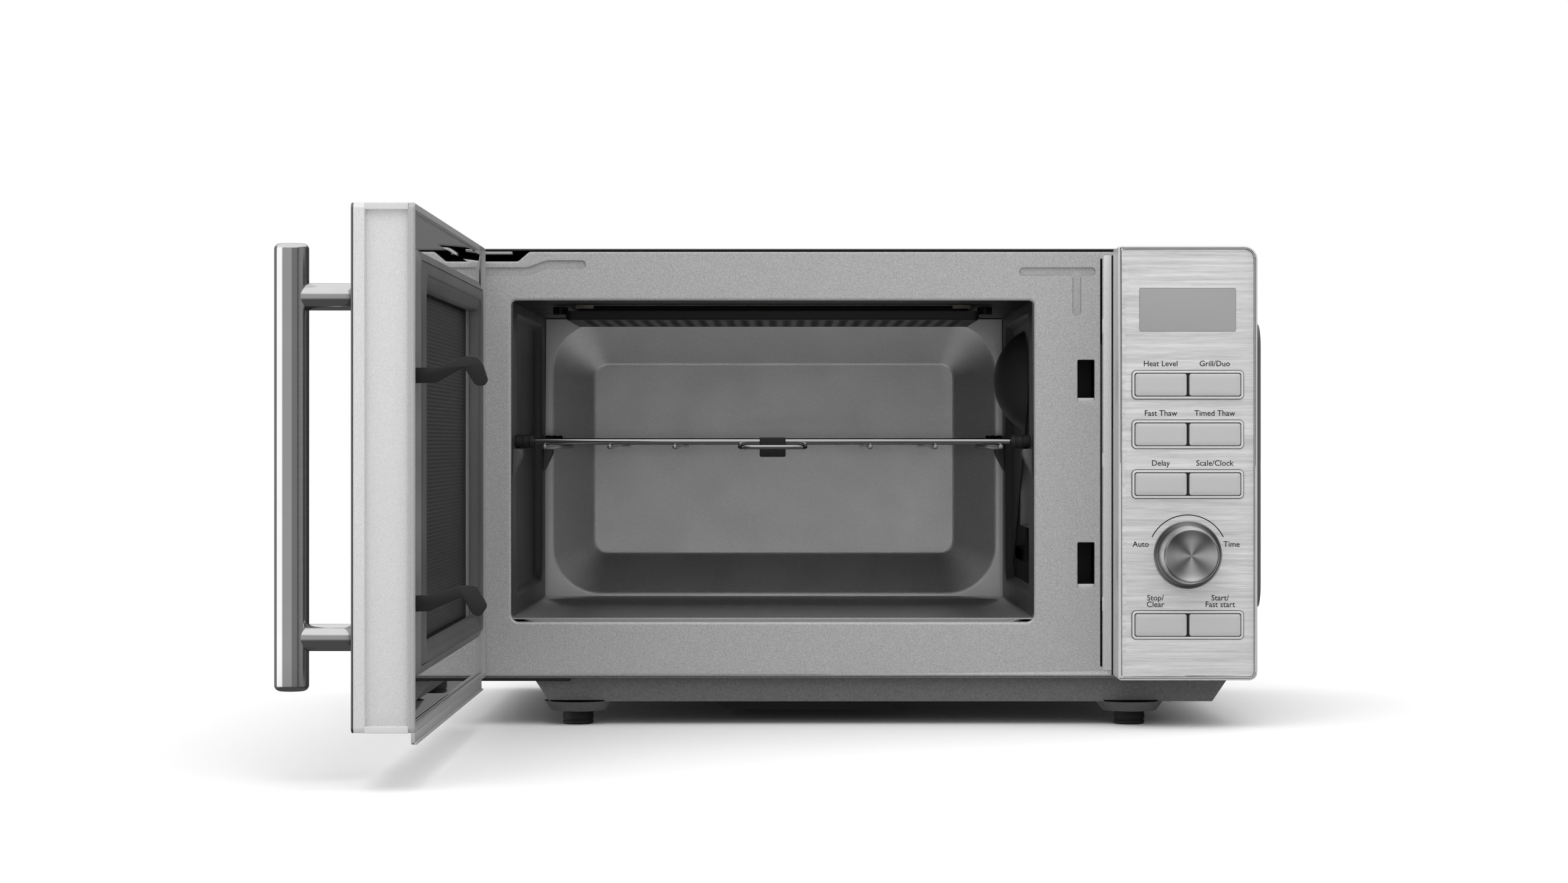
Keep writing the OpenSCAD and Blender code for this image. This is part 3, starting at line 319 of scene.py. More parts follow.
def pressed_sheet(border: Sequence[Ring], pockets: Iterable[Sequence[Ring]] = (), holes: Iterable[Sequence[Ring]] = (),
                  thickness: float = 0.8) -> Shape:
    """Builds a sheet with a shaped border, pockets pressed into it and holes with rolled rims.

    Args:
        border: rings from the flat face outwards.
        pockets: for each pocket, rings from the flat face to its floor.
        holes: for each hole, rings from the flat face to its rim.
        thickness: of the sheet.

    Returns:
        The closed shape, in its flat layout.
    """
    sheet = Shape()
    flat = [sheet.loft(border, False, False)[0]]
    for rings in pockets:
        flat.append(sheet.loft(rings, False, True)[0])
    for rings in holes:
        flat.append(sheet.loft(rings, False, False)[0])
    sheet.plain(flat)
    bmesh.ops.recalc_face_normals(sheet.bm, faces=sheet.bm.faces)
    sheet.thicken(thickness)
    return sheet


def pocket(outline: Outline, slope: float, depth: float, steps: int = 5, lead: float = 0.4) -> list[Ring]:
    """Rings of a pocket with soft sloping walls, as deep as depth."""
    rings = [(offset(outline, -lead), 0.0)]
    return rings + [(offset(outline, slope * t), -depth * s) for t, s in s_curve(steps)]


def rolled(outline: Outline, radius: float, depth: float, side: int, steps: int = 3, lead: float = 0.5) -> list[Ring]:
    """Rings of a rim that is rolled back and then runs straight.

    Args:
        outline: the rim's edge.
        radius: of the roll.
        depth: that the rim reaches.
        side: 1 if the flat face lies inside the outline, -1 if outside.
        steps: faces across the roll.
        lead: width of the flat strip before the roll.

    Returns:
        The rings, from the flat face to the edge.
    """
    rings = [(offset(outline, side * (radius + lead)), 0.0)]
    for k in range(steps + 1):
        a = math.pi / 2 * k / steps
        rings.append((offset(outline, side * radius * (1 - math.sin(a))), -radius * (1 - math.cos(a))))
    return rings + [(outline, -depth)]


def rolled_hole(outline: Outline, radius: float, depth: float, steps: int = 3, lead: float = 0.5) -> list[Ring]:
    """Rings of a hole whose rim is rolled back by radius and then runs straight to depth."""
    return rolled(outline, radius, depth, -1, steps, lead)


def rolled_border(outline: Outline, radius: float, depth: float) -> list[Ring]:
    """Rings of a border that is rolled back by radius and then runs straight to depth."""
    return rolled(outline, radius, depth, 1)


# ---------------------------------------------------------------- finishes


def add_node(tree: bpy.types.NodeTree, kind: str, inputs: dict | None = None, **settings: object) -> bpy.types.Node:
    """Adds a shader node to a tree.

    Args:
        tree: that takes the node.
        kind: the node's type, without its first word.
        inputs: for each socket, the socket that feeds it or its value.
        settings: the node's own settings.

    Returns:
        The node.
    """
    node = tree.nodes.new("ShaderNode" + kind)
    for name, value in settings.items():
        setattr(node, name, value)
    for key, value in (inputs or {}).items():
        if isinstance(value, bpy.types.NodeSocket):
            tree.links.new(value, node.inputs[key])
        else:
            node.inputs[key].default_value = value
    return node


class Shader:
    """Adds nodes to one material."""

    def __init__(self, name: str) -> None:
        """Starts a material with one shader."""
        self.material = bpy.data.materials.new(name)
        self.material.use_nodes = True
        self.tree = self.material.node_tree
        self.bsdf = self.tree.nodes["Principled BSDF"]

    def set(self, **values: float | Sequence[float]) -> None:
        """Sets sockets of the shader, whose names are written with underscores."""
        for name, value in values.items():
            self.bsdf.inputs[name.replace("_", " ")].default_value = value

    def add(self, kind: str, inputs: dict | None = None, **settings: object) -> bpy.types.Node:
        """Adds a node to this material."""
        return add_node(self.tree, kind, inputs, **settings)

    def link(self, socket: bpy.types.NodeSocket, name: str) -> None:
        """Links a node's output to the shader."""
        self.tree.links.new(socket, self.bsdf.inputs[name])

    def place(self, scale: Sequence[float] = (1, 1, 1), centre: Sequence[float] = (0, 0, 0)) -> bpy.types.NodeSocket:
        """Object coordinates, moved so that centre is the origin and then stretched."""
        here = self.add("TexCoord").outputs["Object"]
        moved = self.add("VectorMath", {0: here, 1: centre}, operation="SUBTRACT").outputs[0]
        return self.add("VectorMath", {0: moved, 1: scale}, operation="MULTIPLY").outputs[0]

    def noise(self, where: bpy.types.NodeSocket, scale: float, detail: float = 2.0,
              roughness: float = 0.5) -> bpy.types.NodeSocket:
        """Grey noise at a scale, in waves to the metre."""
        node = self.add("TexNoise", {"Vector": where, "Scale": scale, "Detail": detail, "Roughness": roughness})
        return node.outputs["Fac"]

    def ramp(self, value: bpy.types.NodeSocket, low: float, high: float, dark: Sequence[float],
             light: Sequence[float]) -> bpy.types.NodeSocket:
        """Colour that goes from dark at low to light at high."""
        node = self.add("ValToRGB", {"Fac": value})
        node.color_ramp.elements[0].position, node.color_ramp.elements[1].position = low, high
        node.color_ramp.elements[0].color, node.color_ramp.elements[1].color = (*dark, 1), (*light, 1)
        return node.outputs["Color"]

    def scale(self, value: bpy.types.NodeSocket, low: float, high: float) -> bpy.types.NodeSocket:
        """Value from nought to one, stretched to run from low to high."""
        return self.add("MapRange", {"Value": value, "To Min": low, "To Max": high}).outputs["Result"]

    def bump(self, height: bpy.types.NodeSocket, distance: float, strength: float = 1.0,
             under: bpy.types.NodeSocket | None = None) -> bpy.types.NodeSocket:
        """Normal with a bump of that height, in metres, over another one."""
        inputs = {"Height": height, "Distance": distance, "Strength": strength}
        if under:
            inputs["Normal"] = under
        return self.add("Bump", inputs).outputs["Normal"]


def grey(level: float) -> tuple[float, float, float]:
    """Neutral colour of that level."""
    return (level, level, level)


def tint(colour: Sequence[float], factor: float) -> tuple[float, ...]:
    """Colour made lighter or darker."""
    return tuple(min(1.0, c * factor) for c in colour)


@dataclass(frozen=True)
class Paint:
    """Sprayed paint with fine metal flakes and a soft orange peel."""

    name: str
    colour: tuple[float, float, float]
    contrast: float = 0.12
    flake: float = 0.0005
    roughness: float = 0.38
    metallic: float = 0.6
    peel: float = 0.00002

    def build(self) -> bpy.types.Material:
        """Makes the material."""
        s = Shader(self.name)
        here = s.place()
        flakes = s.noise(here, 1 / self.flake, 1.5, 0.7)
        colour = s.ramp(flakes, 0.32, 0.68, tint(self.colour, 1 - self.contrast), tint(self.colour, 1 + self.contrast))
        s.link(colour, "Base Color")
        s.link(s.scale(s.noise(here, 40, 3), self.roughness - 0.05, self.roughness + 0.06), "Roughness")
        s.link(s.bump(flakes, self.peel, 0.5, s.bump(s.noise(here, 260, 2), self.peel, 0.4)), "Normal")
        s.set(Metallic=self.metallic)
        return s.material


@dataclass(frozen=True)
class Brushed:
    """Steel brushed along one axis."""

    name: str
    colour: tuple[float, float, float]
    along: Axis = Axis.X
    roughness: float = 0.3
    contrast: float = 0.08
    grain: float = 0.00022
    length: float = 0.03
    metallic: float = 1.0

    def build(self) -> bpy.types.Material:
        """Makes the material."""
        s = Shader(self.name)
        stretch = [1 / self.grain] * 3
        stretch[self.along.value] = 1 / self.length
        here = s.place(stretch)
        fine = s.noise(here, 1, 3, 0.65)
        broad = s.noise(s.place([v / 5 for v in stretch]), 1, 2)
        mixed = s.add("Math", {0: fine, 1: broad}, operation="ADD").outputs[0]
        half = s.add("Math", {0: mixed, 1: 0.5}, operation="MULTIPLY").outputs[0]
        colour = s.ramp(half, 0.35, 0.65, tint(self.colour, 1 - self.contrast), tint(self.colour, 1 + self.contrast))
        s.link(colour, "Base Color")
        s.link(s.scale(half, self.roughness - 0.08, self.roughness + 0.08), "Roughness")
        s.link(s.bump(fine, 0.00001, 0.6), "Normal")
        s.set(Metallic=self.metallic)
        return s.material


@dataclass(frozen=True)
class Spun:
    """Metal turned on a lathe, with fine rings about a centre and an axis along Y, and a painted highlight: its colour
    is brightened and darkened in fans about the centre.
    """

    name: str
    colour: tuple[float, float, float]
    centre: tuple[float, float, float]
    roughness: float = 0.25
    painted_highlight_fans: int = 2

    def build(self) -> bpy.types.Material:
        """Makes the material."""
        s = Shader(self.name)
        here = s.place((1, 0, 1), self.centre)
        radius = s.add("VectorMath", {0: here}, operation="LENGTH").outputs["Value"]
        rings = s.noise(s.add("CombineXYZ", {"X": radius}).outputs[0], 5200, 3, 0.7)
        # Painted highlight: bright and dark fans around the centre, multiplied into the colour in place of the turned
        # metal's reflections.
        split = s.add("SeparateXYZ", {0: here})
        angle = s.add("Math", {0: split.outputs["X"], 1: split.outputs["Z"]}, operation="ARCTAN2").outputs[0]
        turned = s.add("Math", {0: angle, 1: float(self.painted_highlight_fans)}, operation="MULTIPLY").outputs[0]
        shine = s.add("Math", {0: turned}, operation="COSINE").outputs[0]
        painted_highlight = s.add("MapRange", {"Value": shine, "From Min": -1, "From Max": 1, "To Min": 0.35, "To Max": 1.0})
        base = s.ramp(rings, 0.3, 0.7, tint(self.colour, 0.86), tint(self.colour, 1.1))
        mixed = s.add("MixRGB", {"Fac": 1.0, "Color1": base, "Color2": painted_highlight.outputs["Result"]}, blend_type="MULTIPLY")
        s.link(mixed.outputs["Color"], "Base Color")
        s.link(s.scale(rings, self.roughness - 0.06, self.roughness + 0.08), "Roughness")
        s.link(s.bump(rings, 0.00001, 0.7), "Normal")
        s.set(Metallic=1.0)
        return s.material


@dataclass(frozen=True)
class Plated:
    """Bright metal plating with faint smears."""

    name: str
    colour: tuple[float, float, float]
    roughness: float = 0.08
    smear: float = 0.05
    ripple: float = 0.000004

    def build(self) -> bpy.types.Material:
        """Makes the material."""
        s = Shader(self.name)
        here = s.place()
        smears = s.noise(here, 35, 4, 0.6)
        s.link(s.ramp(smears, 0.3, 0.7, tint(self.colour, 0.94), self.colour), "Base Color")
        s.link(s.scale(smears, self.roughness, self.roughness + self.smear), "Roughness")
        if self.ripple:
            s.link(s.bump(s.noise(here, 90, 2), self.ripple, 0.4), "Normal")
        s.set(Metallic=1.0)
        return s.material


@dataclass(frozen=True)
class Moulded:
    """Moulded plastic or rubber with a fine grain."""

    name: str
    colour: tuple[float, float, float]
    roughness: float = 0.5
    grain: float = 0.0006
    depth: float = 0.00003
    variation: float = 0.15

    def build(self) -> bpy.types.Material:
        """Makes the material."""
        s = Shader(self.name)
        here = s.place()
        fine = s.noise(here, 1 / self.grain, 2, 0.6)
        cloud = s.noise(here, 18, 3)
        low, high = tint(self.colour, 1 - self.variation), tint(self.colour, 1 + self.variation)
        s.link(s.ramp(cloud, 0.3, 0.7, low, high), "Base Color")
        s.link(s.scale(fine, self.roughness - 0.07, self.roughness + 0.1), "Roughness")
        s.link(s.bump(fine, self.depth, 0.7), "Normal")
        return s.material


@dataclass(frozen=True)
class Glazed:
    """Glass too dark to see through, with faint dust."""

    name: str
    colour: tuple[float, float, float]
    roughness: float = 0.03

    def build(self) -> bpy.types.Material:
        """Makes the material."""
        s = Shader(self.name)
        here = s.place()
        dust = s.noise(here, 60, 4, 0.6)
        s.link(s.ramp(dust, 0.35, 0.75, tint(self.colour, 0.9), tint(self.colour, 1.15)), "Base Color")
        s.link(s.scale(dust, self.roughness, self.roughness + 0.06), "Roughness")
        s.link(s.bump(s.noise(here, 14, 1), 0.00002, 0.15), "Normal")
        s.set(IOR=1.5)
        return s.material


@dataclass(frozen=True)
class Punched:
    """Coated sheet with a close pattern of round holes, drawn on the plane across one axis."""

    name: str
    colour: tuple[float, float, float]
    hole: tuple[float, float, float]
    pitch: float = 0.0021
    across: Axis = Axis.X

    def build(self) -> bpy.types.Material:
        """Makes the material."""
        s = Shader(self.name)
        keep = [1 / self.pitch] * 3
        keep[self.across.value] = 0
        here = s.place(keep)
        cells = s.add("TexVoronoi", {"Vector": here, "Scale": 1.0, "Randomness": 0.0}, distance="EUCLIDEAN")
        holes = cells.outputs["Distance"]
        s.link(s.ramp(holes, 0.30, 0.36, self.hole, self.colour), "Base Color")
        s.link(s.bump(s.ramp(holes, 0.28, 0.38, grey(0), grey(1)), 0.0004, 0.8), "Normal")
        s.link(s.scale(s.noise(s.place(), 900, 2), 0.4, 0.6), "Roughness")
        return s.material


@dataclass(frozen=True)
class Laminated:
    """Stack of thin steel sheets, with lines across one axis."""

    name: str
    colour: tuple[float, float, float]
    across: Axis = Axis.Y
    pitch: float = 0.0006

    def build(self) -> bpy.types.Material:
        """Makes the material."""
        s = Shader(self.name)
        stretch = [6.0, 6.0, 6.0]
        stretch[self.across.value] = 1 / self.pitch
        lines = s.noise(s.place(stretch), 1, 2)
        s.link(s.ramp(lines, 0.35, 0.65, tint(self.colour, 0.55), tint(self.colour, 1.2)), "Base Color")
        s.link(s.scale(lines, 0.35, 0.6), "Roughness")
        s.link(s.bump(lines, 0.0001, 0.8), "Normal")
        s.set(Metallic=0.85)
        return s.material


@dataclass(frozen=True)
class Board:
    """Circuit board with tracks under its solder resist."""

    name: str
    colour: tuple[float, float, float]

    def build(self) -> bpy.types.Material:
        """Makes the material."""
        s = Shader(self.name)
        here = s.place()
        tracks = s.add("TexBrick", {"Vector": here, "Scale": 220.0, "Mortar Size": 0.05,
                                    "Color1": (*tint(self.colour, 0.9), 1), "Color2": (*self.colour, 1),
                                    "Mortar": (*tint(self.colour, 1.9), 1)})
        s.link(tracks.outputs["Color"], "Base Color")
        s.link(s.bump(tracks.outputs["Fac"], 0.00005, 0.5), "Normal")
        s.link(s.scale(s.noise(here, 400, 2), 0.25, 0.4), "Roughness")
        return s.material


# ---------------------------------------------------------------- finishing


def finish(shape: Shape, name: str, body: str, material: bpy.types.Material, place: Matrix = Matrix(),
           instead: Sequence[str] = ()) -> bpy.types.Object:
    """Turns a shape into a finished piece in metres.

    Args:
        shape: the closed shape, in millimetres.
        name: of the piece.
        body: rigid body that it rides on.
        material: its finish.
        place: matrix from its layout to the frame.
        instead: nodes that it stands for.

    Returns:
        The object.
    """
    bm = shape.move(place).bm
    bmesh.ops.remove_doubles(bm, verts=bm.verts, dist=1e-4)
    bmesh.ops.recalc_face_normals(bm, faces=bm.faces)
    bmesh.ops.scale(bm, vec=(MM, MM, MM), verts=bm.verts)
    for face in bm.faces:
        face.smooth = True
    for edge in bm.edges:
        edge.smooth = len(edge.link_faces) == 2 and edge.calc_face_angle(0) < SHARP_ANGLE
    mesh = bpy.data.meshes.new(name)
    bm.to_mesh(mesh)
    bm.free()
    mesh.materials.append(material)
    piece = bpy.data.objects.new(name, mesh)
    bpy.context.scene.collection.objects.link(piece)
    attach(piece, body)
    if instead:
        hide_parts(*instead)
    LOG.info("%s: %d faces", name, len(mesh.polygons))
    return piece


def face_at(y: float) -> Matrix:
    """Layout of a face that looks to the front, at that depth."""
    return Matrix.Translation((0, y, 0)) @ FRONT


def left_wall(x: float) -> Matrix:
    """Layout of a face that looks to +X: its X runs along Y and its Y goes up."""
    return Matrix.Translation((x, 0, 0)) @ Matrix(((0, 0, 1, 0), (1, 0, 0, 0), (0, 1, 0, 0), (0, 0, 0, 1)))


def right_wall(x: float) -> Matrix:
    """Layout of a face that looks to -X: its X runs against Y and its Y goes up."""
    return Matrix.Translation((x, 0, 0)) @ Matrix(((0, 0, -1, 0), (-1, 0, 0, 0), (0, 1, 0, 0), (0, 0, 0, 1)))


def prism(outline: Outline, back: float, front: float, edge: float = 0.3) -> Shape:
    """Flat shape with rounded edges."""
    shape = Shape()
    shape.slab(outline, back, front, edge)
    return shape


def corner_mm(node: str) -> tuple[Vector, Vector]:
    """Lowest and highest corners of a node's box, in millimetres."""
    low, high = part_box(node)
    return Vector(low) / MM, Vector(high) / MM


class Palette:
    """Every material, made once."""

    def __init__(self) -> None:
        """Makes the materials."""
        self.case = Paint("case_paint", grey(0.115), 0.07, 0.0004, 0.42, 0.3).build()
        self.frame = Paint("frame_paint", grey(0.52), 0.25, 0.00045, 0.4, 0.5).build()
        self.silver = Paint("silver_paint", grey(0.76), 0.10, 0.0004, 0.36, 0.45).build()
        # Painted shade: a darker copy of the silver paint, for the door's flange and lip, where that paint lies in
        # shade.
        self.flange = Paint("silver_paint_shaded", grey(0.48), 0.10, 0.0004, 0.36, 0.45).build()
        # The door's skin is steel darkened partly for its own dark tone and partly as painted shade on its outer face.
        self.door_skin = Brushed("door_steel_dark_and_shaded", grey(0.22), Axis.Y, 0.3, 0.08).build()
        self.pan = Paint("pan_zinc", grey(0.17), 0.15, 0.0012, 0.45, 0.5).build()
        self.coat = Paint("cavity_coat", grey(0.11), 0.2, 0.0006, 0.42, 0.45).build()
        # Painted shade: the ceiling takes a near-black copy of the cavity's coat, for the shade under the grill.
        self.shaded_ceiling_coat = Paint("ceiling_coat_painted_shade", grey(0.025), 0.25, 0.0006, 0.42, 0.3).build()
        self.back = Paint("cavity_steel", grey(0.86), 0.12, 0.0005, 0.38, 0.92).build()
        self.zinc = Brushed("plated_steel", grey(0.48), Axis.Z, 0.38, 0.14, 0.0006).build()
        self.black = Moulded("black_plastic", grey(0.012), 0.42).build()
        self.black_steel = Paint("black_steel", grey(0.012), 0.3, 0.0005, 0.4, 0.1).build()
        self.screen = Punched("door_mesh", grey(0.04), grey(0.012)).build()
        self.quartz = Glazed("quartz", (0.75, 0.7, 0.62), 0.25).build()
        self.mica = Moulded("mica", grey(0.05), 0.38, 0.0012).build()
        self.fascia = Brushed("fascia_steel", grey(0.78), Axis.X, 0.4, 0.2, 0.0004, 0.014, 0.5).build()
        self.lens = Moulded("display_lens", grey(0.29), 0.5, 0.001, 0.000005, 0.01).build()
        self.button = Paint("button_silver", grey(0.56), 0.05, 0.0003, 0.36, 0.35).build()
        self.chrome = Plated("bright_chrome", grey(0.78), 0.05).build()
        self.wire = Plated("nickel_wire", grey(0.6), 0.12).build()
        self.rubber = Moulded("soft_rubber", grey(0.01), 0.6, 0.0008).build()
        self.glass = Glazed("smoked_glass", grey(0.01), 0.03).build()
        self.mirror = Plated("mirror_steel", grey(0.92), 0.015, 0.01, 0.0).build()
        self.choke = Moulded("choke_plastic", grey(0.075), 0.4).build()
        # Painted light: a lighter copy of the choke's plastic, for the bevel that catches the light.
        self.choke_edge_painted_light = Moulded("choke_edge_painted_light", grey(0.13), 0.4).build()
        self.board = Board("circuit_board", (0.01, 0.06, 0.02)).build()
        self.ivory = Moulded("ivory_plastic", (0.7, 0.66, 0.56), 0.42).build()
        self.laminated = Laminated("laminated_steel", grey(0.3), Axis.Y).build()
        self.ink = Moulded("dark_ink", grey(0.006), 0.7).build()
        axle = (0.2005, 0, 0.1057)
        # The knob and its ring carry a painted highlight in fans about the axle.
        self.knob = Spun("turned_metal", grey(0.95), axle, 0.3, 4).build()
        self.ring = Spun("turned_ring_painted_highlight", grey(0.6), axle, 0.3, 3).build()


@dataclass(frozen=True)
class Sizes:
    """Planes and corners that several assemblies share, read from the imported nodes."""

    left: float
    right: float
    top: float
    low: float
    frame_y: float
    front_y: float
    pivot: Vector

    @classmethod
    def read(cls) -> "Sizes":
        """Reads the sizes from the boxes of the case, the frame and the controls."""
        frame_low, frame_high = corner_mm("front_frame")
        case_low, case_high = corner_mm("outer_case")
        panel_low, _ = corner_mm("panel_housing")
        hinge_low, _ = corner_mm("upper_hinge")
        fold = case_high.z - frame_high.z
        left = frame_low.x - fold
        pivot = Vector((left + PIVOT_INSET, hinge_low.y + PIN_SETBACK))
        return cls(left, frame_high.x + fold, case_high.z, case_low.z, frame_low.y, panel_low.y, pivot)


# ---------------------------------------------------------------- assemblies


class Assembly:
    """A group of pieces that share a palette and the common sizes."""

    def __init__(self, palette: Palette, sizes: Sizes) -> None:
        """Keeps the palette and the sizes."""
        self.palette = palette
        self.sizes = sizes

    def build(self) -> None:
        """Makes the pieces."""
        raise NotImplementedError


@dataclass
class FrameSize:
    """Sizes of the pressed front frame."""

    fold: float = 1.2
    rim: float = 10
    rib: float = 5.5
    rib_depth: float = 2.3
    notch: float = 6
    notch_x: tuple[float, float] = (-206, -199)
    tee: tuple[float, float, float, float] = (101, 148, 136.4, 251)
    tee_z: float = 278
    opening: tuple[float, float, float, float] = (-210, 63.6, 110, 260.2)
    slots: tuple[tuple[float, float], ...] = ((198.6, 224.0), (84.5, 112.2))
    slot_x: tuple[float, float] = (136.8, 147.2)
    panel_mouth: tuple[float, float, float, float] = (172, 60, 230, 270)
    left_seam: tuple[float, float, float, float] = (150.7, 36, 152.0, 286)
    right_seam: tuple[float, float, float, float] = (157.7, 31, 158.6, 288)
    strip: tuple[float, float, float, float] = (152.6, 34, 157.5, 288)
    marks: tuple[float, ...] = (70, 158, 240)
    ramp_y: float = 48
    sill: tuple[float, float, float] = (2.2, 12, 2.1)


class FrontFrame(Assembly):
    """Pressed steel frame around the cavity's mouth, with its ribs, slots and rabbet."""

    size = FrameSize()

    def build(self) -> None:
        """Makes the frame and the strip beside the control panel."""
        z, s = self.size, self.sizes
        x0, x1, top = s.left + z.fold, s.right - z.fold, s.top - z.fold - 0.5
        border = round_corners([(x0, s.low, 1), (x1, s.low, 1), (x1, top, 4.8), (z.notch_x[1], top, 3),
                                (z.notch_x[0], top - z.notch, 3), (x0, top - z.notch, 1.4)])
        ribs = [band(open_path([(x0 + 5, z.tee_z, 0), (-200, z.tee_z, 7), (-188, 282.3, 7),
                                (-167, 282.3, 0)]), z.rib),
                self.tee_rib()]
        mouth = round_corners([(z.opening[0], z.opening[1], 4.5), (z.opening[2], z.opening[1], 4.5),
                               (z.opening[2], z.opening[3], 2.6), (z.opening[0], z.opening[3], 2.6)])
        holes = [rolled_hole(mouth, 1.6, 5)]
        for low_z, high_z in z.slots:
            holes.append(rolled_hole(rectangle(z.slot_x[0], low_z, z.slot_x[1], high_z, 0.8), 0.5, 1.6))
        holes.append(rolled_hole(rectangle(*z.panel_mouth, 3), 0.5, 2))
        holes.append(rolled_hole(rectangle(*z.left_seam, 0.6), 0.2, 1.6))
        holes.append(rolled_hole(rectangle(*z.right_seam, 0.4), 0.1, 1.6, 2, 0.2))
        sheet = pressed_sheet(rolled_border(border, 1.0, z.rim),
                              [pocket(rib, 0.6, z.rib_depth) for rib in ribs], holes)
        face = face_at(s.frame_y)
        finish(sheet, "frame_sheet", "case", self.palette.frame, face, ["front_frame"])
        strip = prism(rectangle(*z.strip, 0.8), 0, 0.4, 0.2)
        for mark in z.marks:
            strip.join(prism(rectangle(z.strip[0] - 0.7, mark, z.strip[0] + 0.8, mark + 9, 0.5), 0, 0.3, 0.1))
        finish(strip, "frame_strip", "case", self.palette.silver, face)
        self.ramps()

    def tee_rib(self) -> Outline:
        """Outline of the T-shaped rib near the control panel."""
        z = self.size
        x0, x1, stem, foot = z.tee
        low, high = z.tee_z - z.rib / 2, z.tee_z + z.rib / 2
        left, right = stem - z.rib / 2, stem + z.rib / 2
        return round_corners([(left, foot, 2.7), (right, foot, 2.7), (right, low, 1.6), (x1, low, 2.7),
                              (x1, high, 2.7), (x0, high, 2.7), (x0, low, 2.7), (left, low, 1.6)])

    def ramps(self) -> None:
        """Sill and ramp behind each latch slot."""
        z, y = self.size, self.sizes.frame_y
        ramps = Shape()
        for low_z, high_z in z.slots:
            foot, rise = y + z.ramp_y, low_z + 0.42 * (high_z - low_z)
            front, back, sill_z = y + z.sill[0], y + z.sill[1], low_z + z.sill[2]
            slope = [(foot, low_z - 3), (foot + 5, low_z - 3), (foot + 5, rise), (foot + 4, rise), (foot, low_z + 3)]
            sill = [(front, low_z - 3), (back, low_z - 3), (back, sill_z), (front, sill_z)]
            for corners in (slope, sill):
                outline = [Vector(corner) for corner in corners]
                ramps.join(prism(outline, z.slot_x[0] - 0.6, z.slot_x[1] + 0.6, 0.3).move(left_wall(0)))
        finish(ramps, "slot_ramps", "case", self.palette.silver)


@dataclass
class CavitySize:
    """Sizes of the cavity's walls."""

    x: tuple[float, float] = (-210, 110)
    y: tuple[float, float] = (-146.2, 150)
    z: tuple[float, float] = (63.6, 260.2)
    sheet: float = 0.8
    press: float = 5
    press_y: tuple[float, float] = (-106.2, 120)
    press_z: tuple[float, float] = (77.6, 254.2)
    rack_y: tuple[float, float] = (-132, 136)
    horn_top: float = 169.45
    floor_z: float = 61.8
    floor_rise: float = 4.2
    step_y: float = 108
    grill: tuple[float, float, float, float] = (-181, -80, 80.5, 51)
    guard_z: tuple[float, float] = (250.8, 256.5)


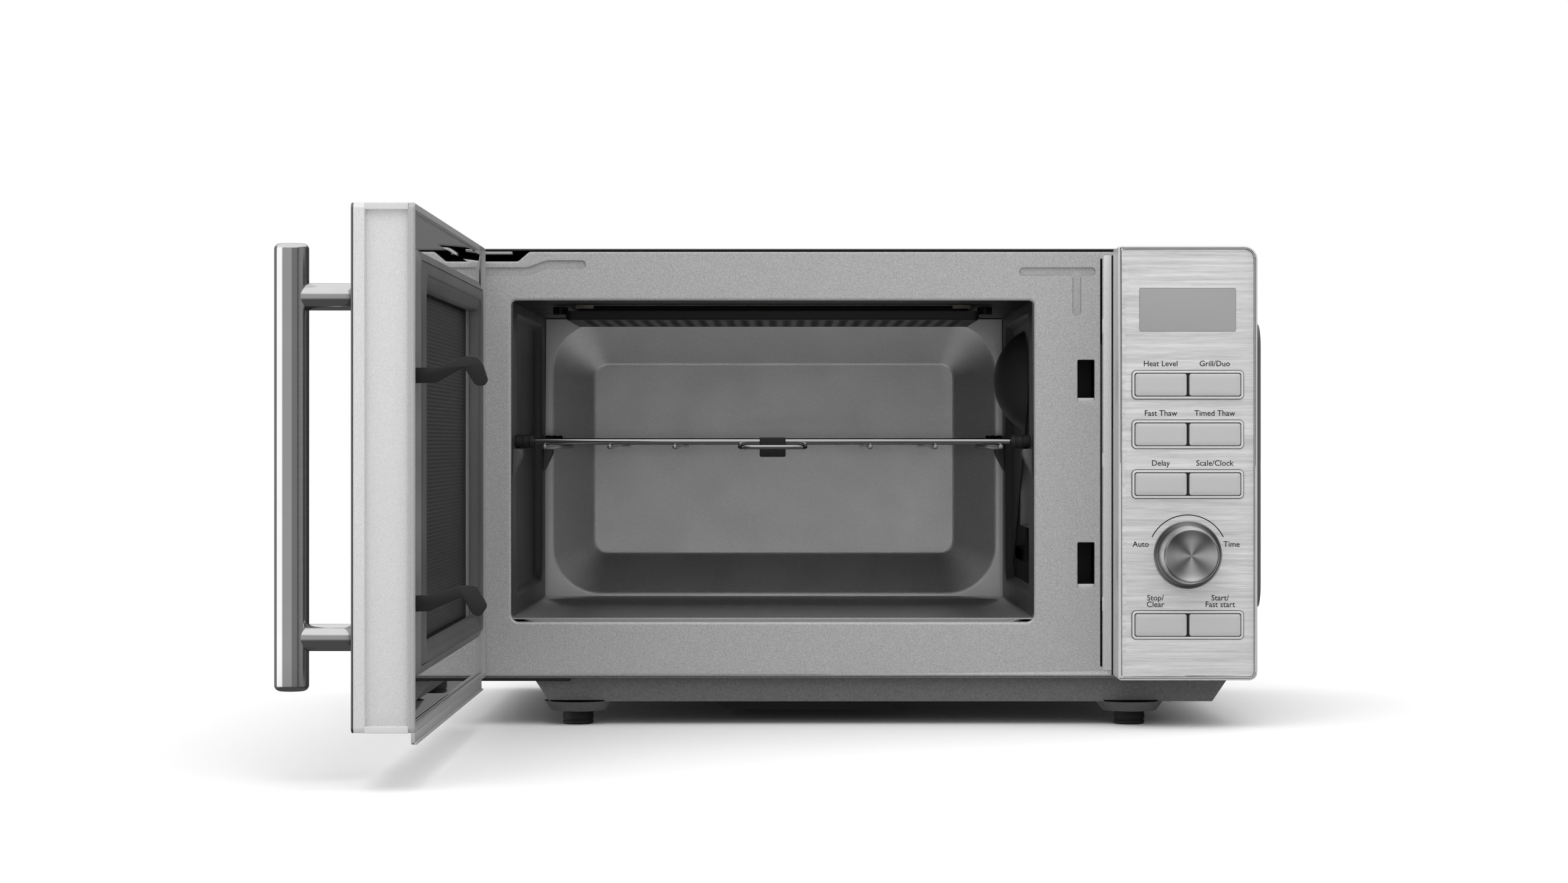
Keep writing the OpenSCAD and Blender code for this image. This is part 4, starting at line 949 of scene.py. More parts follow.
class Cavity(Assembly):
    """Coated cavity with its recessed sides, pressed back, stepped floor, grill and stirrer cover."""

    size = CavitySize()

    def build(self) -> None:
        """Makes the walls, the floor, the grill's guard and the cover."""
        z = self.size
        walls = self.side(-1)
        walls.join(self.side(1))
        for side in (-1, 1):
            for y in z.rack_y:
                walls.join(self.horn(side, y))
        finish(walls, "cavity_sides", "case", self.palette.coat, instead=["cavity_walls"])
        # The ceiling's near-black coat is painted shade.
        finish(self.ceiling(), "cavity_ceiling", "case", self.palette.shaded_ceiling_coat, instead=["cavity_walls"])
        self.back()
        self.floor()
        self.guard()
        self.cover()

    def side(self, side: int) -> Shape:
        """One wall, in place, with its recess and on the right its slots."""
        z = self.size
        turn = -side
        ys = sorted(turn * y for y in z.y)
        press = sorted(turn * y for y in z.press_y)
        outline = rectangle(ys[0], z.z[0] - 7.5, ys[1], z.z[1] + 0.6, 0.6)
        recess = rectangle(press[0], z.press_z[0], press[1], z.press_z[1], 12)
        border = [(offset(outline, 1), 0.0), (outline, 0.0)]
        rings = pocket(recess, 4.5, z.press - 0.05)
        sheet = Shape()
        flat = [sheet.loft(border, False, False)[0], sheet.loft(rings, False, False)]
        floor = flat[1][-1]
        sheet.plain([flat[0], flat[1][0]])
        holes = []
        if side > 0:
            for row in range(13):
                hole = capsule(82.2, 248.2 - 5.3 * row, 40, 2.6)
                holes.append(sheet.loft([(hole, -z.press + 0.05), (hole, -z.press - 0.2)], False, False)[0])
        sheet.plain([floor, *holes])
        bmesh.ops.recalc_face_normals(sheet.bm, faces=sheet.bm.faces)
        sheet.thicken(z.sheet)
        place = left_wall(z.x[0]) if side < 0 else right_wall(z.x[1])
        return sheet.move(place)

    def ceiling(self) -> Shape:
        """Ceiling with the grill's well, in place."""
        z = self.size
        x0, y0, x1, y1 = z.grill
        down = Matrix.Translation((0, 0, z.z[1])) @ Matrix.Rotation(math.pi, 4, "X")
        outline = rectangle(z.x[0], -z.y[1], z.x[1], -z.y[0], 0.6)
        well = rectangle(x0, -y1, x1, -y0, 6)
        sheet = pressed_sheet([(offset(outline, 1), 0.0), (outline, 0.0)], [pocket(well, 2, 16.9, 4)])
        return sheet.move(down)

    def horn(self, side: int, y: float) -> Shape:
        """Wedge-shaped support for an end of the rack's bar, in place."""
        z = self.size
        out, top = 6.5, z.horn_top
        outline = round_corners([(0, top - 17, 0), (out, top - 3.5, 1.5), (out, top, 1.2), (0, top, 0)])
        if side > 0:
            outline = [Vector((-p.x, p.y)) for p in reversed(outline)]
        shape = prism(outline, -7, 7, 0.6)
        return shape.move(Matrix.Translation((z.x[0] if side < 0 else z.x[1], y, 0)) @ FRONT)

    def back(self) -> None:
        """Back wall with its wide slanted pressing."""
        z = self.size
        x, y = sum(z.x) / 2, sum(z.z) / 2
        outline = rectangle(z.x[0], z.z[0] - 7.5, z.x[1], z.z[1] + 0.6, 0.6)

        def ring(t: float) -> Outline:
            """Rounded rectangle of the pressing, from its mouth at 0 to its foot at 1."""
            half = (156 - 31 * t, 95.3 - 30 * t)
            return rectangle(x - half[0], y - half[1], x + half[0], y + half[1], 34 - 25 * t, 8)

        soft = [(0, 0), (0.03, 0.012), (0.08, 0.06), (0.92, 0.94), (0.97, 0.988), (1, 1)]
        rings = [(ring(t), -15.9 * depth) for t, depth in soft]
        sheet = pressed_sheet([(offset(outline, 1), 0.0), (outline, 0.0)], [rings])
        finish(sheet, "cavity_rear_wall", "case", self.palette.back, face_at(z.y[1]), ["cavity_back"])

    def floor(self) -> None:
        """Floor with rising sides and a step at its back."""
        z = self.size
        high = z.floor_z + z.floor_rise
        outline = rectangle(z.x[0], z.y[0], z.x[1], z.y[1], 0.5)

        def ring(t: float, level: float) -> Ring:
            """Edge of the floor's hollow, from its mouth at 0 to its foot at 1."""
            inset = 1.5 + 15 * t
            shape = rectangle(z.x[0] + inset, z.y[0] + 0.9, z.x[1] - inset, z.step_y - 3.5 * t, 10 - 2 * t)
            return shape, level

        soft = [(0, 0), (0.06, 0.02), (0.2, 0.16), (0.8, 0.84), (0.94, 0.98), (1, 1)]
        rings = [ring(t, -z.floor_rise * depth) for t, depth in soft]
        sheet = pressed_sheet([(offset(outline, 0.4), 0.0), (outline, 0.0)], [rings])
        finish(sheet, "cavity_base", "case", self.palette.back, Matrix.Translation((0, 0, high)), ["cavity_floor"])

    def guard(self) -> None:
        """Perforated tray under the grill's heater."""
        z = self.size
        x0, y0, x1, y1 = z.grill
        down = Matrix.Translation((0, 0, z.guard_z[0])) @ Matrix.Rotation(math.pi, 4, "X")
        outline = rectangle(x0, -y1, x1, -y0, 4)
        holes = []
        columns, rows = 27, 13
        for i in range(columns):
            for j in range(rows):
                x = x0 + 13 + (x1 - x0 - 26) * i / (columns - 1)
                y = -y1 + 12 + (y1 - y0 - 24) * j / (rows - 1)
                hole = circle(x, y, 3.2, 8)
                holes.append([(hole, 0.0), (hole, -0.3)])
        sheet = pressed_sheet(rolled_border(outline, 1.2, z.guard_z[1] - z.guard_z[0]), [], holes)
        sheet.move(down)
        for x in (x0 - 4, x1 + 4):
            sheet.join(prism(round_corners([(x - 5, y0 + 12, 1), (x, y0 + 5, 1), (x + 5, y0 + 12, 1),
                                            (x, y0 + 19, 1)]), z.guard_z[1] - 2, z.guard_z[1] + 3, 0.4))
        finish(sheet, "grill_tray", "case", self.palette.black_steel, instead=["grill_guard"])

    def cover(self) -> None:
        """Dome over the stirrer."""
        low, high = corner_mm("stirrer_cover")
        radius, height = (high.z - low.z) / 2, high.x - low.x
        ball = (radius ** 2 + height ** 2) / (2 * height)
        limit = math.asin(radius / ball)
        profile = [(ball * math.sin(a), ball * math.cos(a) - ball + height)
                   for a in (limit * k / 14 for k in range(14 + 1))]
        profile += [(r * 0.96, h - 1.5 if h > 2 else 0) for r, h in reversed(profile)]
        shape = Shape()
        shape.lathe(profile, 64)
        centre = (low + high) / 2
        turn = Matrix.Translation((high.x, centre.y, centre.z)) @ Matrix.Rotation(-math.pi / 2, 4, "Y")
        finish(shape, "stirrer_dome", "case", self.palette.mica, turn, ["stirrer_cover"])


@dataclass
class RackSize:
    """Sizes of the wire rack."""

    bar_z: float = 174.0
    wire_z: float = 170.7
    bars: tuple[float, float] = (-132.0, 136.0)
    first: float = -190.7
    pitch: float = 281.4 / 7
    wires: tuple[int, ...] = (0, 1, 2, 5, 6, 7)
    bar: float = 2
    wire: float = 1.5


class Rack(Assembly):
    """Wire rack on two bars, with rubber caps and a clip."""

    size = RackSize()
    cap = ((0, 0), (3.2, 0), (4.0, 0.4), (4.25, 1.2), (4.25, 4), (3.85, 4.4), (3.85, 5), (4.25, 5.4), (4.25, 8),
           (3.85, 8.4), (3.85, 9), (4.25, 9.4), (4.25, 11.2), (3.9, 11.9), (0, 11.99))

    def build(self) -> None:
        """Makes the wires, the caps and the clip."""
        z = self.size
        low, high = corner_mm("wire_rack")
        caps_low, caps_high = corner_mm("rack_caps")
        wires = Shape()
        for y in z.bars:
            wires.rod((low.x, y, z.bar_z), (high.x, y, z.bar_z), z.bar, 0.5)
        for k in z.wires:
            x = z.first + k * z.pitch
            wires.rod((x, z.bars[0] - 2, z.wire_z), (x, z.bars[1] + 2, z.wire_z), z.wire, 0.4, 16)
        left, right = z.first + 3 * z.pitch, z.first + 4 * z.pitch
        front, back = low.y + z.wire, z.bars[1] + 2
        loop = open_path([(left, back, 0), (left, front, 8), (right, front, 8), (right, back, 0)], 15)
        wires.tube([Vector((p.x, p.y, z.wire_z)) for p in loop], z.wire)
        finish(wires, "rack_wires", "rack", self.palette.wire, instead=["wire_rack"])
        caps = Shape()
        for y in z.bars:
            for x, turn in ((caps_low.x, 1), (caps_high.x, -1)):
                cap = Shape()
                cap.lathe(self.cap, 32)
                place = Matrix.Translation((x, y, z.bar_z)) @ Matrix.Rotation(turn * math.pi / 2, 4, "Y")
                caps.join(cap.move(place))
        middle, clip_y = (caps_low.x + caps_high.x) / 2, z.bars[0]
        caps.block((middle - 8, clip_y - 3, z.bar_z - 9.5), (middle + 8, clip_y + 3, z.bar_z + 2.5), 0.9, 3)
        finish(caps, "rack_rubbers", "rack", self.palette.rubber, instead=["rack_caps"])


@dataclass
class PanelSize:
    """Sizes of the control panel."""

    x: tuple[float, float] = (158.5, 242.5)
    z: tuple[float, float] = (30, 292)
    bezel: float = 1.8
    recess: float = 1.0
    rows: tuple[float, ...] = (208.2, 178.3, 148.3, 63.4)
    button: tuple[float, float] = (30.9, 13.3)
    gap: float = 1.6
    corner: float = 1.4
    surround: tuple[float, float] = (67.0, 16.9)
    display: tuple[float, float, float] = (58, 26, 253.4)
    knob_z: float = 105.7
    arc: float = 24


class ControlPanel(Assembly):
    """Housing, brushed fascia, display, buttons, knob and printed labels."""

    size = PanelSize()
    labels = ((-16.3, 219.4, "Heat Level"), (16.3, 219.4, "Grill/Duo"), (-16.3, 189.5, "Fast Thaw"),
              (16.3, 189.5, "Timed Thaw"), (-16.3, 159.4, "Delay"), (16.3, 159.4, "Scale/Clock"), (-28.3, 110.5, "Auto"),
              (26.5, 110.5, "Time"), (-19.5, 78.2, "Stop/"), (-19.5, 74.2, "Clear"), (19.5, 78.2, "Start/"),
              (19.5, 74.2, "Fast start"))

    def build(self) -> None:
        """Makes every piece of the panel."""
        z, s = self.size, self.sizes
        mid = sum(z.x) / 2
        outline = round_corners([(z.x[0], z.z[0], 2), (z.x[1], z.z[0], 5), (z.x[1], z.z[1], 8), (z.x[0], z.z[1], 2)])
        inner = offset(outline, z.bezel)
        housing = pressed_sheet(rolled_border(outline, 0.9, 32.9), [], [rolled_hole(inner, 0.3, 2.9)], 1.2)
        finish(housing, "panel_shell", "case", self.palette.silver, face_at(s.front_y), ["panel_housing"])
        self.fascia(inner, mid)
        width, height, dz = z.display
        glass = rectangle(mid - width / 2, dz - height / 2, mid + width / 2, dz + height / 2, 1.0)
        lens = prism(glass, -0.6, 0.25, 0.2)
        finish(lens, "display_lens", "case", self.palette.lens, face_at(s.front_y + z.recess), ["display_window"])
        self.buttons(mid)
        self.knob(mid)
        self.print(mid)

    def fascia(self, inner: Outline, mid: float) -> None:
        """Brushed plate with openings for the display, the buttons and the knob."""
        z = self.size
        width, height, dz = z.display
        half_w, half_h = width / 2 + 0.1, height / 2 + 0.1
        holes = [rectangle(mid - half_w, dz - half_h, mid + half_w, dz + half_h, 1.1)]
        for row in z.rows:
            holes.append(rectangle(mid - 33, row - 8, mid + 33, row + 8, 1.5))
        holes.append(circle(mid, z.knob_z, 15, 48))
        plate = pressed_sheet(rolled_border(offset(inner, 0.35), 0.2, 0.5), [],
                              [rolled_hole(h, 0.15, 0.5) for h in holes],
                              0.7)
        finish(plate, "panel_face", "case", self.palette.fascia, face_at(self.sizes.front_y + z.recess), ["panel_fascia"])

    def buttons(self, mid: float) -> None:
        """Two buttons to a row, in a silver surround over a dark gasket."""
        z = self.size
        half_w, half_h = z.button[0] / 2, z.button[1] / 2
        frames, gaskets = Shape(), Shape()
        number = 0

        def opening(x: float, row: float, wide: float, play: float) -> Outline:
            """Rounded hole around buttons."""
            return rectangle(x - wide - play, row - half_h - play, x + wide + play, row + half_h + play, z.corner)

        for row in z.rows:
            outline = rectangle(mid - z.surround[0] / 2, row - z.surround[1] / 2, mid + z.surround[0] / 2,
                                row + z.surround[1] / 2, 2.4)
            holes = []
            for side in (-1, 1):
                x = mid + side * (z.button[0] + z.gap) / 2
                holes.append(rolled_hole(opening(x, row, half_w, 0.12), 0.05, 0.5, 2, 0.1))
                number += 1
                shape = Shape()
                shape.loft([(rectangle(x - half_w + d, row - half_h + d, x + half_w - d, row + half_h - d,
                                       max(0.4, z.corner - d)), h)
                            for d, h in ((0, -2.2), (0, 0.5), (0.25, 0.9), (0.8, 1.1), (3, 1.2))])
                finish(shape, f"push_{number}", f"button_{number}", self.palette.button, face_at(self.sizes.front_y),
                       [f"button_{number}"])
            mouth = opening(mid, row, z.button[0] + z.gap / 2, 0.45)
            frames.join(pressed_sheet(rolled_border(outline, 0.35, 1.0), [], [rolled_hole(mouth, 0.2, 1.0, 2, 0.1)], 0.5)
                        .move(Matrix.Translation((0, 0, 0.3))))
            gaskets.join(pressed_sheet(rolled_border(offset(outline, -0.4), 0.1, 0.3), [], holes, 0.3)
                         .move(Matrix.Translation((0, 0, -0.75))))
        finish(frames, "button_frames", "case", self.palette.silver, face_at(self.sizes.front_y), ["button_surrounds"])
        finish(gaskets, "button_gaskets", "case", self.palette.black, face_at(self.sizes.front_y))

    def knob(self, mid: float) -> None:
        """Knob with a dished spun face on a turned ring."""
        z = self.size
        place = Matrix.Translation((mid, self.sizes.front_y, z.knob_z)) @ FRONT
        low, _ = corner_mm("knob")
        tall = self.sizes.front_y - low.y
        knob = Shape()
        knob.lathe([(0, -2), (14, -2), (14, 1.7), (17.9, 1.8), (18, 2.3), (17.6, 6), (16.6, tall - 1.6),
                    (16.2, tall - 0.5),
                    (15.7, tall - 0.05), (15.2, tall), (14.6, tall - 0.25), (9, tall - 0.75), (0.4, tall - 0.95),
                    (0, tall - 0.95)], 96)
        finish(knob, "dial", "knob", self.palette.knob, place, ["knob"])
        ring = Shape()
        ring.lathe([(15.5, -1.5), (20.3, -1.5), (20.5, -1.2), (20.5, 0.3), (20.2, 0.6), (19.6, 0.6), (19.2, 0.2),
                    (15.5, 0.2), (15.5, -1.5)], 96)
        finish(ring, "dial_ring", "case", self.palette.ring, place, ["knob_ring"])

    def print(self, mid: float) -> None:
        """Printed labels and the arc over the knob."""
        z = self.size
        ink = Shape()
        for x, height, word in self.labels:
            ink.join(self.word(word, mid + x, height))
        arc = [Vector((mid + z.arc * math.sin(a), z.knob_z + z.arc * math.cos(a)))
               for a in (math.radians(63) * k / 24 for k in range(-24, 25))]
        ink.join(prism(band(arc, 0.6, 4), 0.0, 0.06, 0.01))
        finish(ink, "panel_print", "case", self.palette.ink, face_at(self.sizes.front_y + z.recess))

    @staticmethod
    def word(word: str, x: float, height: float) -> Shape:
        """A printed word whose middle stands at x."""
        curve = bpy.data.curves.new(word, "FONT")
        curve.body = word
        curve.size = 4.8
        curve.offset = 0.03
        curve.extrude = 0.05
        curve.resolution_u = 3
        curve.align_x = "CENTER"
        item = bpy.data.objects.new(word, curve)
        bpy.context.scene.collection.objects.link(item)
        mesh = bpy.data.meshes.new_from_object(item.evaluated_get(bpy.context.evaluated_depsgraph_get()))
        shape = Shape()
        shape.bm.from_mesh(mesh)
        bpy.data.objects.remove(item)
        bpy.data.meshes.remove(mesh)
        bpy.data.curves.remove(curve)
        return shape.move(Matrix.Translation((x, height, 0.05)))


@dataclass
class DoorSize:
    """Sizes of the door, laid out as if it were shut."""

    x: tuple[float, float] = (-242.5, 157.5)
    z: tuple[float, float] = (30, 292)
    thick: float = 31.6
    skin: float = 1.0
    rim: float = 3.4
    flange: float = 28.6
    pocket: tuple[float, float, float] = (7, 28, 4)
    ledge: float = 3.5
    choke: tuple[float, float, float, float] = (-232, 56, 132, 270.4)
    window: tuple[float, float, float, float] = (-210, 69.6, 93, 252)
    screen: float = 21
    lip: tuple[float, float] = (24.4, 30)
    lip_start: float = 22
    hinge_clear: tuple[float, float] = (-204, 290.9)
    handle: tuple[float, float] = (116.5, 161)
    handle_size: tuple[float, float, float] = (17.6, 226, 35)
    posts: tuple[float, float] = (75, 247)
    latch_x: float = 142
    hooks: tuple[float, float] = (97.3, 210.7)


class Door(Assembly):
    """Side-hinged door with its frame, mirror-bright inner panel, choke, handle and latch hooks."""

    size = DoorSize()
    upper_hook = ((-10, 0, 0), (9.4, 0.2, 6), (24.5, 5.9, 4), (29.8, 5.6, 3.5), (32.4, 1.5, 4), (34.9, -6.4, 2.5),
                  (33, -8.8, 2), (28.6, -8.9, 3), (23.4, -0.2, 1.2), (21.3, -0.5, 1.5), (9.4, -7.3, 5), (-10, -8, 0))
    lower_hook = ((-10, 0, 0), (5, 0.3, 6), (19.7, 4.9, 6), (29, 5.3, 2.5), (34.6, -5, 2.5), (31.1, -10.4, 2),
                  (27.2, -9.4, 3), (22.6, -1.3, 1.2), (21, -0.9, 1.2), (5.7, -7.6, 5), (-10, -8.3, 0))

    def __init__(self, palette: Palette, sizes: Sizes) -> None:
        """Keeps the palette and the sizes, and works out the matrix from a shut face's layout to the open door."""
        super().__init__(palette, sizes)
        pivot = Matrix.Translation((sizes.pivot.x, sizes.pivot.y, 0))
        self.swing = pivot @ Matrix.Rotation(-math.pi / 2, 4, "Z") @ pivot.inverted()
        self.upright = self.swing @ Matrix(((1, 0, 0, 0), (0, -1, 0, sizes.front_y), (0, 0, 1, 0), (0, 0, 0, 1)))

    def at(self, depth: float) -> Matrix:
        """Place of a layout on the plane that lies depth behind the door's face."""
        return self.swing @ face_at(self.sizes.front_y + depth)

    def build(self) -> None:
        """Makes every piece of the door."""
        self.frame()
        self.outside()
        self.inside()
        self.handle()
        self.latch()

    def outline(self, inset: float = 0, radius: float = 3) -> Outline:
        """The door's outline, drawn in by inset."""
        z = self.size
        return rectangle(z.x[0] + inset, z.z[0] + inset, z.x[1] - inset, z.z[1] - inset, max(0.4, radius - inset))

    def frame(self) -> None:
        """Painted frame: outer zone, core with the pocket in its free edge, flange and lip."""
        z = self.size
        low, high, deep = z.pocket
        window = rectangle(z.window[0] - 8, z.window[1] - 10, z.window[2] + 8, z.window[3] + 10, 4)
        core_x1 = z.x[1] - deep
        casing = Shape()
        self.ring_slab(casing, self.outline(), window, low, z.skin, 0.4)
        core = rectangle(z.x[0] + 0.3, z.z[0], core_x1, z.z[1], 0.5)
        self.ring_slab(casing, core, window, z.flange - 0.5, low - 0.4, 0.05)
        for z0, z1 in ((z.z[0], z.z[0] + z.ledge), (z.z[1] - z.ledge, z.z[1])):
            casing.slab(rectangle(core_x1 - 1, z0, z.x[1] - 0.25, z1, 0.4), -high - 0.3, -low + 0.3, 0.2)
        finish(casing, "door_casing", "door", self.palette.silver, self.at(0), ["door_frame"])
        flange = Shape()
        x0, x1, z0, z1 = z.x[0] + z.rim, z.x[1] - z.rim, z.z[0] + z.rim, z.z[1] - z.rim
        inner = round_corners([(x0, z0, 0.4), (x1, z0, 0.4), (x1, z1, 0.4), (z.hinge_clear[0], z1, 0.4),
                               (z.hinge_clear[0], z.hinge_clear[1], 0.4), (x0, z.hinge_clear[1], 0.4)])
        self.ring_slab(flange, self.outline(), inner, z.thick, high, 0.7)
        # The flange and the lip take the darker copy of the silver paint, which is painted shade.
        finish(flange, "door_flange", "door", self.palette.flange, self.at(0))
        lip = Shape()
        x0, x1 = self.sizes.pivot.x + z.lip_start, z.x[1] - 1
        lip.block((x0, -z.thick, z.lip[0]), (x1, 2 - z.thick, z.lip[1] + 0.4), 0.3)
        lip.block((x0, -z.thick - 0.95, z.lip[0]), (x1, 1.5 - z.thick, z.lip[0] + 1), 0.25)
        finish(lip, "door_lip", "door", self.palette.flange, self.upright)

    @staticmethod
    def ring_slab(shape: Shape, outer: Outline, inner: Outline, back: float, front: float, edge: float) -> None:
        """Adds a ring-shaped slab between two depths.

        Args:
            shape: that takes the slab.
            outer: the slab's outline.
            inner: the outline of its opening.
            back: depth of its back face.
            front: depth of its front face.
            edge: bevel along its outer edges.
        """
        outside = shape.loft([(offset(outer, edge), -front), (outer, -front - edge), (outer, -back + edge),
                              (offset(outer, edge), -back)], False, False)
        inside = shape.loft([(inner, -front), (inner, -back)], False, False)
        shape.plain([outside[0], inside[0]])
        shape.plain([outside[-1], inside[-1]])

    def outside(self) -> None:
        """Brushed skin and the smoked glass behind its window."""
        z = self.size
        glass = rectangle(z.window[0] + 4, z.window[1] - 6, z.window[2] - 4, z.window[3] + 6, 4)
        sheet = pressed_sheet(rolled_border(self.outline(), 0.6, z.skin), [], [rolled_hole(glass, 0.3, z.skin)], 0.5)
        # The skin's dark steel is partly its own tone, partly painted shade.
        finish(sheet, "door_skin", "door", self.palette.door_skin, self.at(0), ["door_fascia"])
        pane = prism(rectangle(z.window[0] - 6, z.window[1] - 12, z.window[2] + 8, z.window[3] + 12, 3), -3.2, 0, 0.3)
        finish(pane, "door_pane", "door", self.palette.glass, self.at(z.skin), ["door_glass"])

    def inside(self) -> None:
        """Mirror-bright panel, choke with its bevelled edge and dark cover, and the mesh screen."""
        z = self.size
        x0, z0, x1, z1 = z.choke
        choke = rectangle(x0, z0, x1, z1, 10)
        panel = Shape()
        back = self.outline(z.rim + 0.3, 2.4)
        slots = [rectangle(z.latch_x - 3.6, h - 12.5, z.latch_x + 3.6, h + 12.5, 0.6) for h in z.hooks]
        loops = [panel.loft([(offset(back, 1.2), 0), (offset(back, 0.2), 0), (back, -0.2)], False, False)[0]]
        loops.append(panel.loft([(offset(choke, -1.0), 0), (choke, 0)], False, False)[0])
        for hole in slots:
            loops.append(panel.loft([(offset(hole, -0.4), 0), (hole, 0)], False, False)[0])
        panel.plain(loops)
        bmesh.ops.recalc_face_normals(panel.bm, faces=panel.bm.faces)
        panel.thicken(0.7)
        face = self.at(z.flange) @ Matrix.Diagonal((1, 1, -1, 1))
        finish(panel, "door_mirror", "door", self.palette.mirror, face, ["door_inner_panel"])
        rise = z.thick - z.flange
        rim = Shape()
        inner = offset(choke, 5)
        loops = rim.loft([(offset(choke, -0.3), -0.3), (choke, 0.3), (offset(choke, 0.4), 0.7),
                          (offset(choke, 4.2), rise - 0.35), (offset(choke, 4.8), rise - 0.1), (inner, rise - 0.3),
                          (inner, -0.3)], False, False)
        bmesh.ops.bridge_loops(rim.bm, edges=loops[-1] + loops[0])
        # The bevel's lighter copy of the choke plastic is painted light.
        finish(rim, "choke_rim", "door", self.palette.choke_edge_painted_light, face)
        self.choke_cover(face, inner, rise)
        mesh = prism(rectangle(z.window[0] - 9, z.window[1] - 8, z.window[2] + 11, z.window[3] + 8, 3), -0.8, 0, 0.1)
        finish(mesh, "door_net", "door", self.palette.screen, self.at(z.screen), ["door_screen"])

    def choke_cover(self, face: Matrix, inner: Outline, rise: float) -> None:
        """Dark cover that steps down to the window."""
        z = self.size
        window = rectangle(z.window[0], z.window[1], z.window[2], z.window[3], 4)
        cover = Shape()
        steps = [(-8, 0), (-7.4, -0.12), (-6.6, -0.9), (-4.5, -1.1), (-2.0, -2.2), (-0.6, -4), (0, -6.5)]
        outer = cover.loft([(offset(inner, 0.9), rise - 0.05), (offset(inner, 0.3), rise - 0.5),
                            (offset(inner, 0.2), 0.1)], False, False)
        hole = cover.loft([(offset(window, d), rise - 0.05 + h) for d, h in steps], False, False)
        cover.plain([outer[0], hole[0]])
        bmesh.ops.recalc_face_normals(cover.bm, faces=cover.bm.faces)
        cover.thicken(0.9)
        finish(cover, "choke_lid", "door", self.palette.choke, face, ["choke_cover"])

    def handle(self) -> None:
        """Chromed tube with domed ends on two posts."""
        z = self.size
        diameter, length, stand = z.handle_size
        radius = diameter / 2
        x, mid = z.handle
        dome = [(radius - 3.2 * (1 - math.cos(a)), 3 - 3 * math.sin(a)) for a in
                (math.radians(90) * k / 8 for k in range(9))]
        profile = [(0, 0)] + dome[::-1]
        profile += [(radius, 30), (radius, length / 2), (radius, length - 30)]
        profile += [(r, length - h) for r, h in dome] + [(0, length)]
        bar = Shape()
        bar.lathe(profile, 64)
        place = self.swing @ Matrix.Translation((x, self.sizes.front_y - stand, mid - length / 2))
        finish(bar, "handle_tube", "door", self.palette.chrome, place, ["handle_bar"])
        posts = Shape()
        for height in z.posts:
            y = self.sizes.front_y
            posts.rod((x, y - stand + 4, height), (x, y, height), 6.9, 0.4, 40)
            posts.rod((x, y - 2.2, height), (x, y, height), 7.5, 0.5, 40)
        finish(posts, "handle_feet", "door", self.palette.chrome, self.swing, ["handle_posts"])

    def latch(self) -> None:
        """Black latch hooks on their bar."""
        z = self.size
        shape = Shape()
        low, high = corner_mm("latch_pawl")
        shape.block((z.latch_x - 3.5, -22, low.z), (z.latch_x + 3.5, -14, high.z - 0.2), 0.5)
        turn = Matrix(((0, 0, 1, 0), (-1, 0, 0, 0), (0, 1, 0, 0), (0, 0, 0, 1)))
        for root, hook in zip(z.hooks, (self.lower_hook, self.upper_hook)):
            outline = round_corners(hook[::-1], 15)
            part = prism(outline, -2, 2, 0.5)
            shape.join(part.move(Matrix.Translation((z.latch_x, -z.thick, root)) @ turn))
        finish(shape, "latch_hooks", "latch", self.palette.black, self.upright, ["latch_pawl"])


class Case(Assembly):
    """Feet and hinges of the case."""

    def build(self) -> None:
        """Makes the outer pieces."""
        self.feet()
        self.hinges()

    def feet(self) -> None:
        """Four rubber feet with a groove and a screw in each."""
        low, high = corner_mm("feet")
        feet, screws = Shape(), Shape()
        profile = [(0, 0), (8.4, 0), (9.2, 0.5), (9.4, 1.2), (9.4, 2.2), (8.8, 2.5), (8.8, 3.1), (9.4, 3.4), (9.5, 5.5),
                   (9.2, high.z - 0.6), (8.6, high.z), (0, high.z)]
        for x in (low.x + 9.5, high.x - 9.5):
            for y in (low.y + 9.5, high.y - 9.5):
                foot = Shape()
                foot.lathe(profile, 48)
                feet.join(foot.move(Matrix.Translation((x, y, 0))))
                screw = Shape()
                screw.lathe([(0, 7.9), (4.6, 7.9), (4.6, 9.4), (0, 9.5)], 32)
                screws.join(screw.move(Matrix.Translation((x, y, 0))))
        finish(feet, "rubber_feet", "case", self.palette.rubber, instead=["feet"])
        finish(screws, "foot_washers", "case", self.palette.zinc)

    def hinges(self) -> None:
        """Plates with round noses and pins, above and below the door."""
        pivot = self.sizes.pivot
        for node, material, pin in (("upper_hinge", self.palette.chrome, -1),
                                    ("lower_hinge", self.palette.black_steel, 1)):
            low, high = corner_mm(node)
            plate_z = (high.z - 1.9, high.z) if pin < 0 else (low.z, low.z + 1.9)
            root = self.sizes.left + 4.5
            y = self.sizes.frame_y
            outline = round_corners([(root, high.y, 1), (root, pivot.y, 0.5), (root, pivot.y - 5, 4.8),
                                     (pivot.x, low.y, 8), (pivot.x + 7.5, pivot.y - 3, 4), (pivot.x + 7.5, y + 0.5, 1.5),
                                     (high.x, y + 0.5, 1), (high.x, high.y, 1)])
            shape = prism(outline, plate_z[0], plate_z[1], 0.3)
            shape.rod((pivot.x, pivot.y, low.z), (pivot.x, pivot.y, high.z), 2.95, 0.5, 32)
            finish(shape, node + "_plate", "case", material, instead=[node])


# ---------------------------------------------------------------- the rest


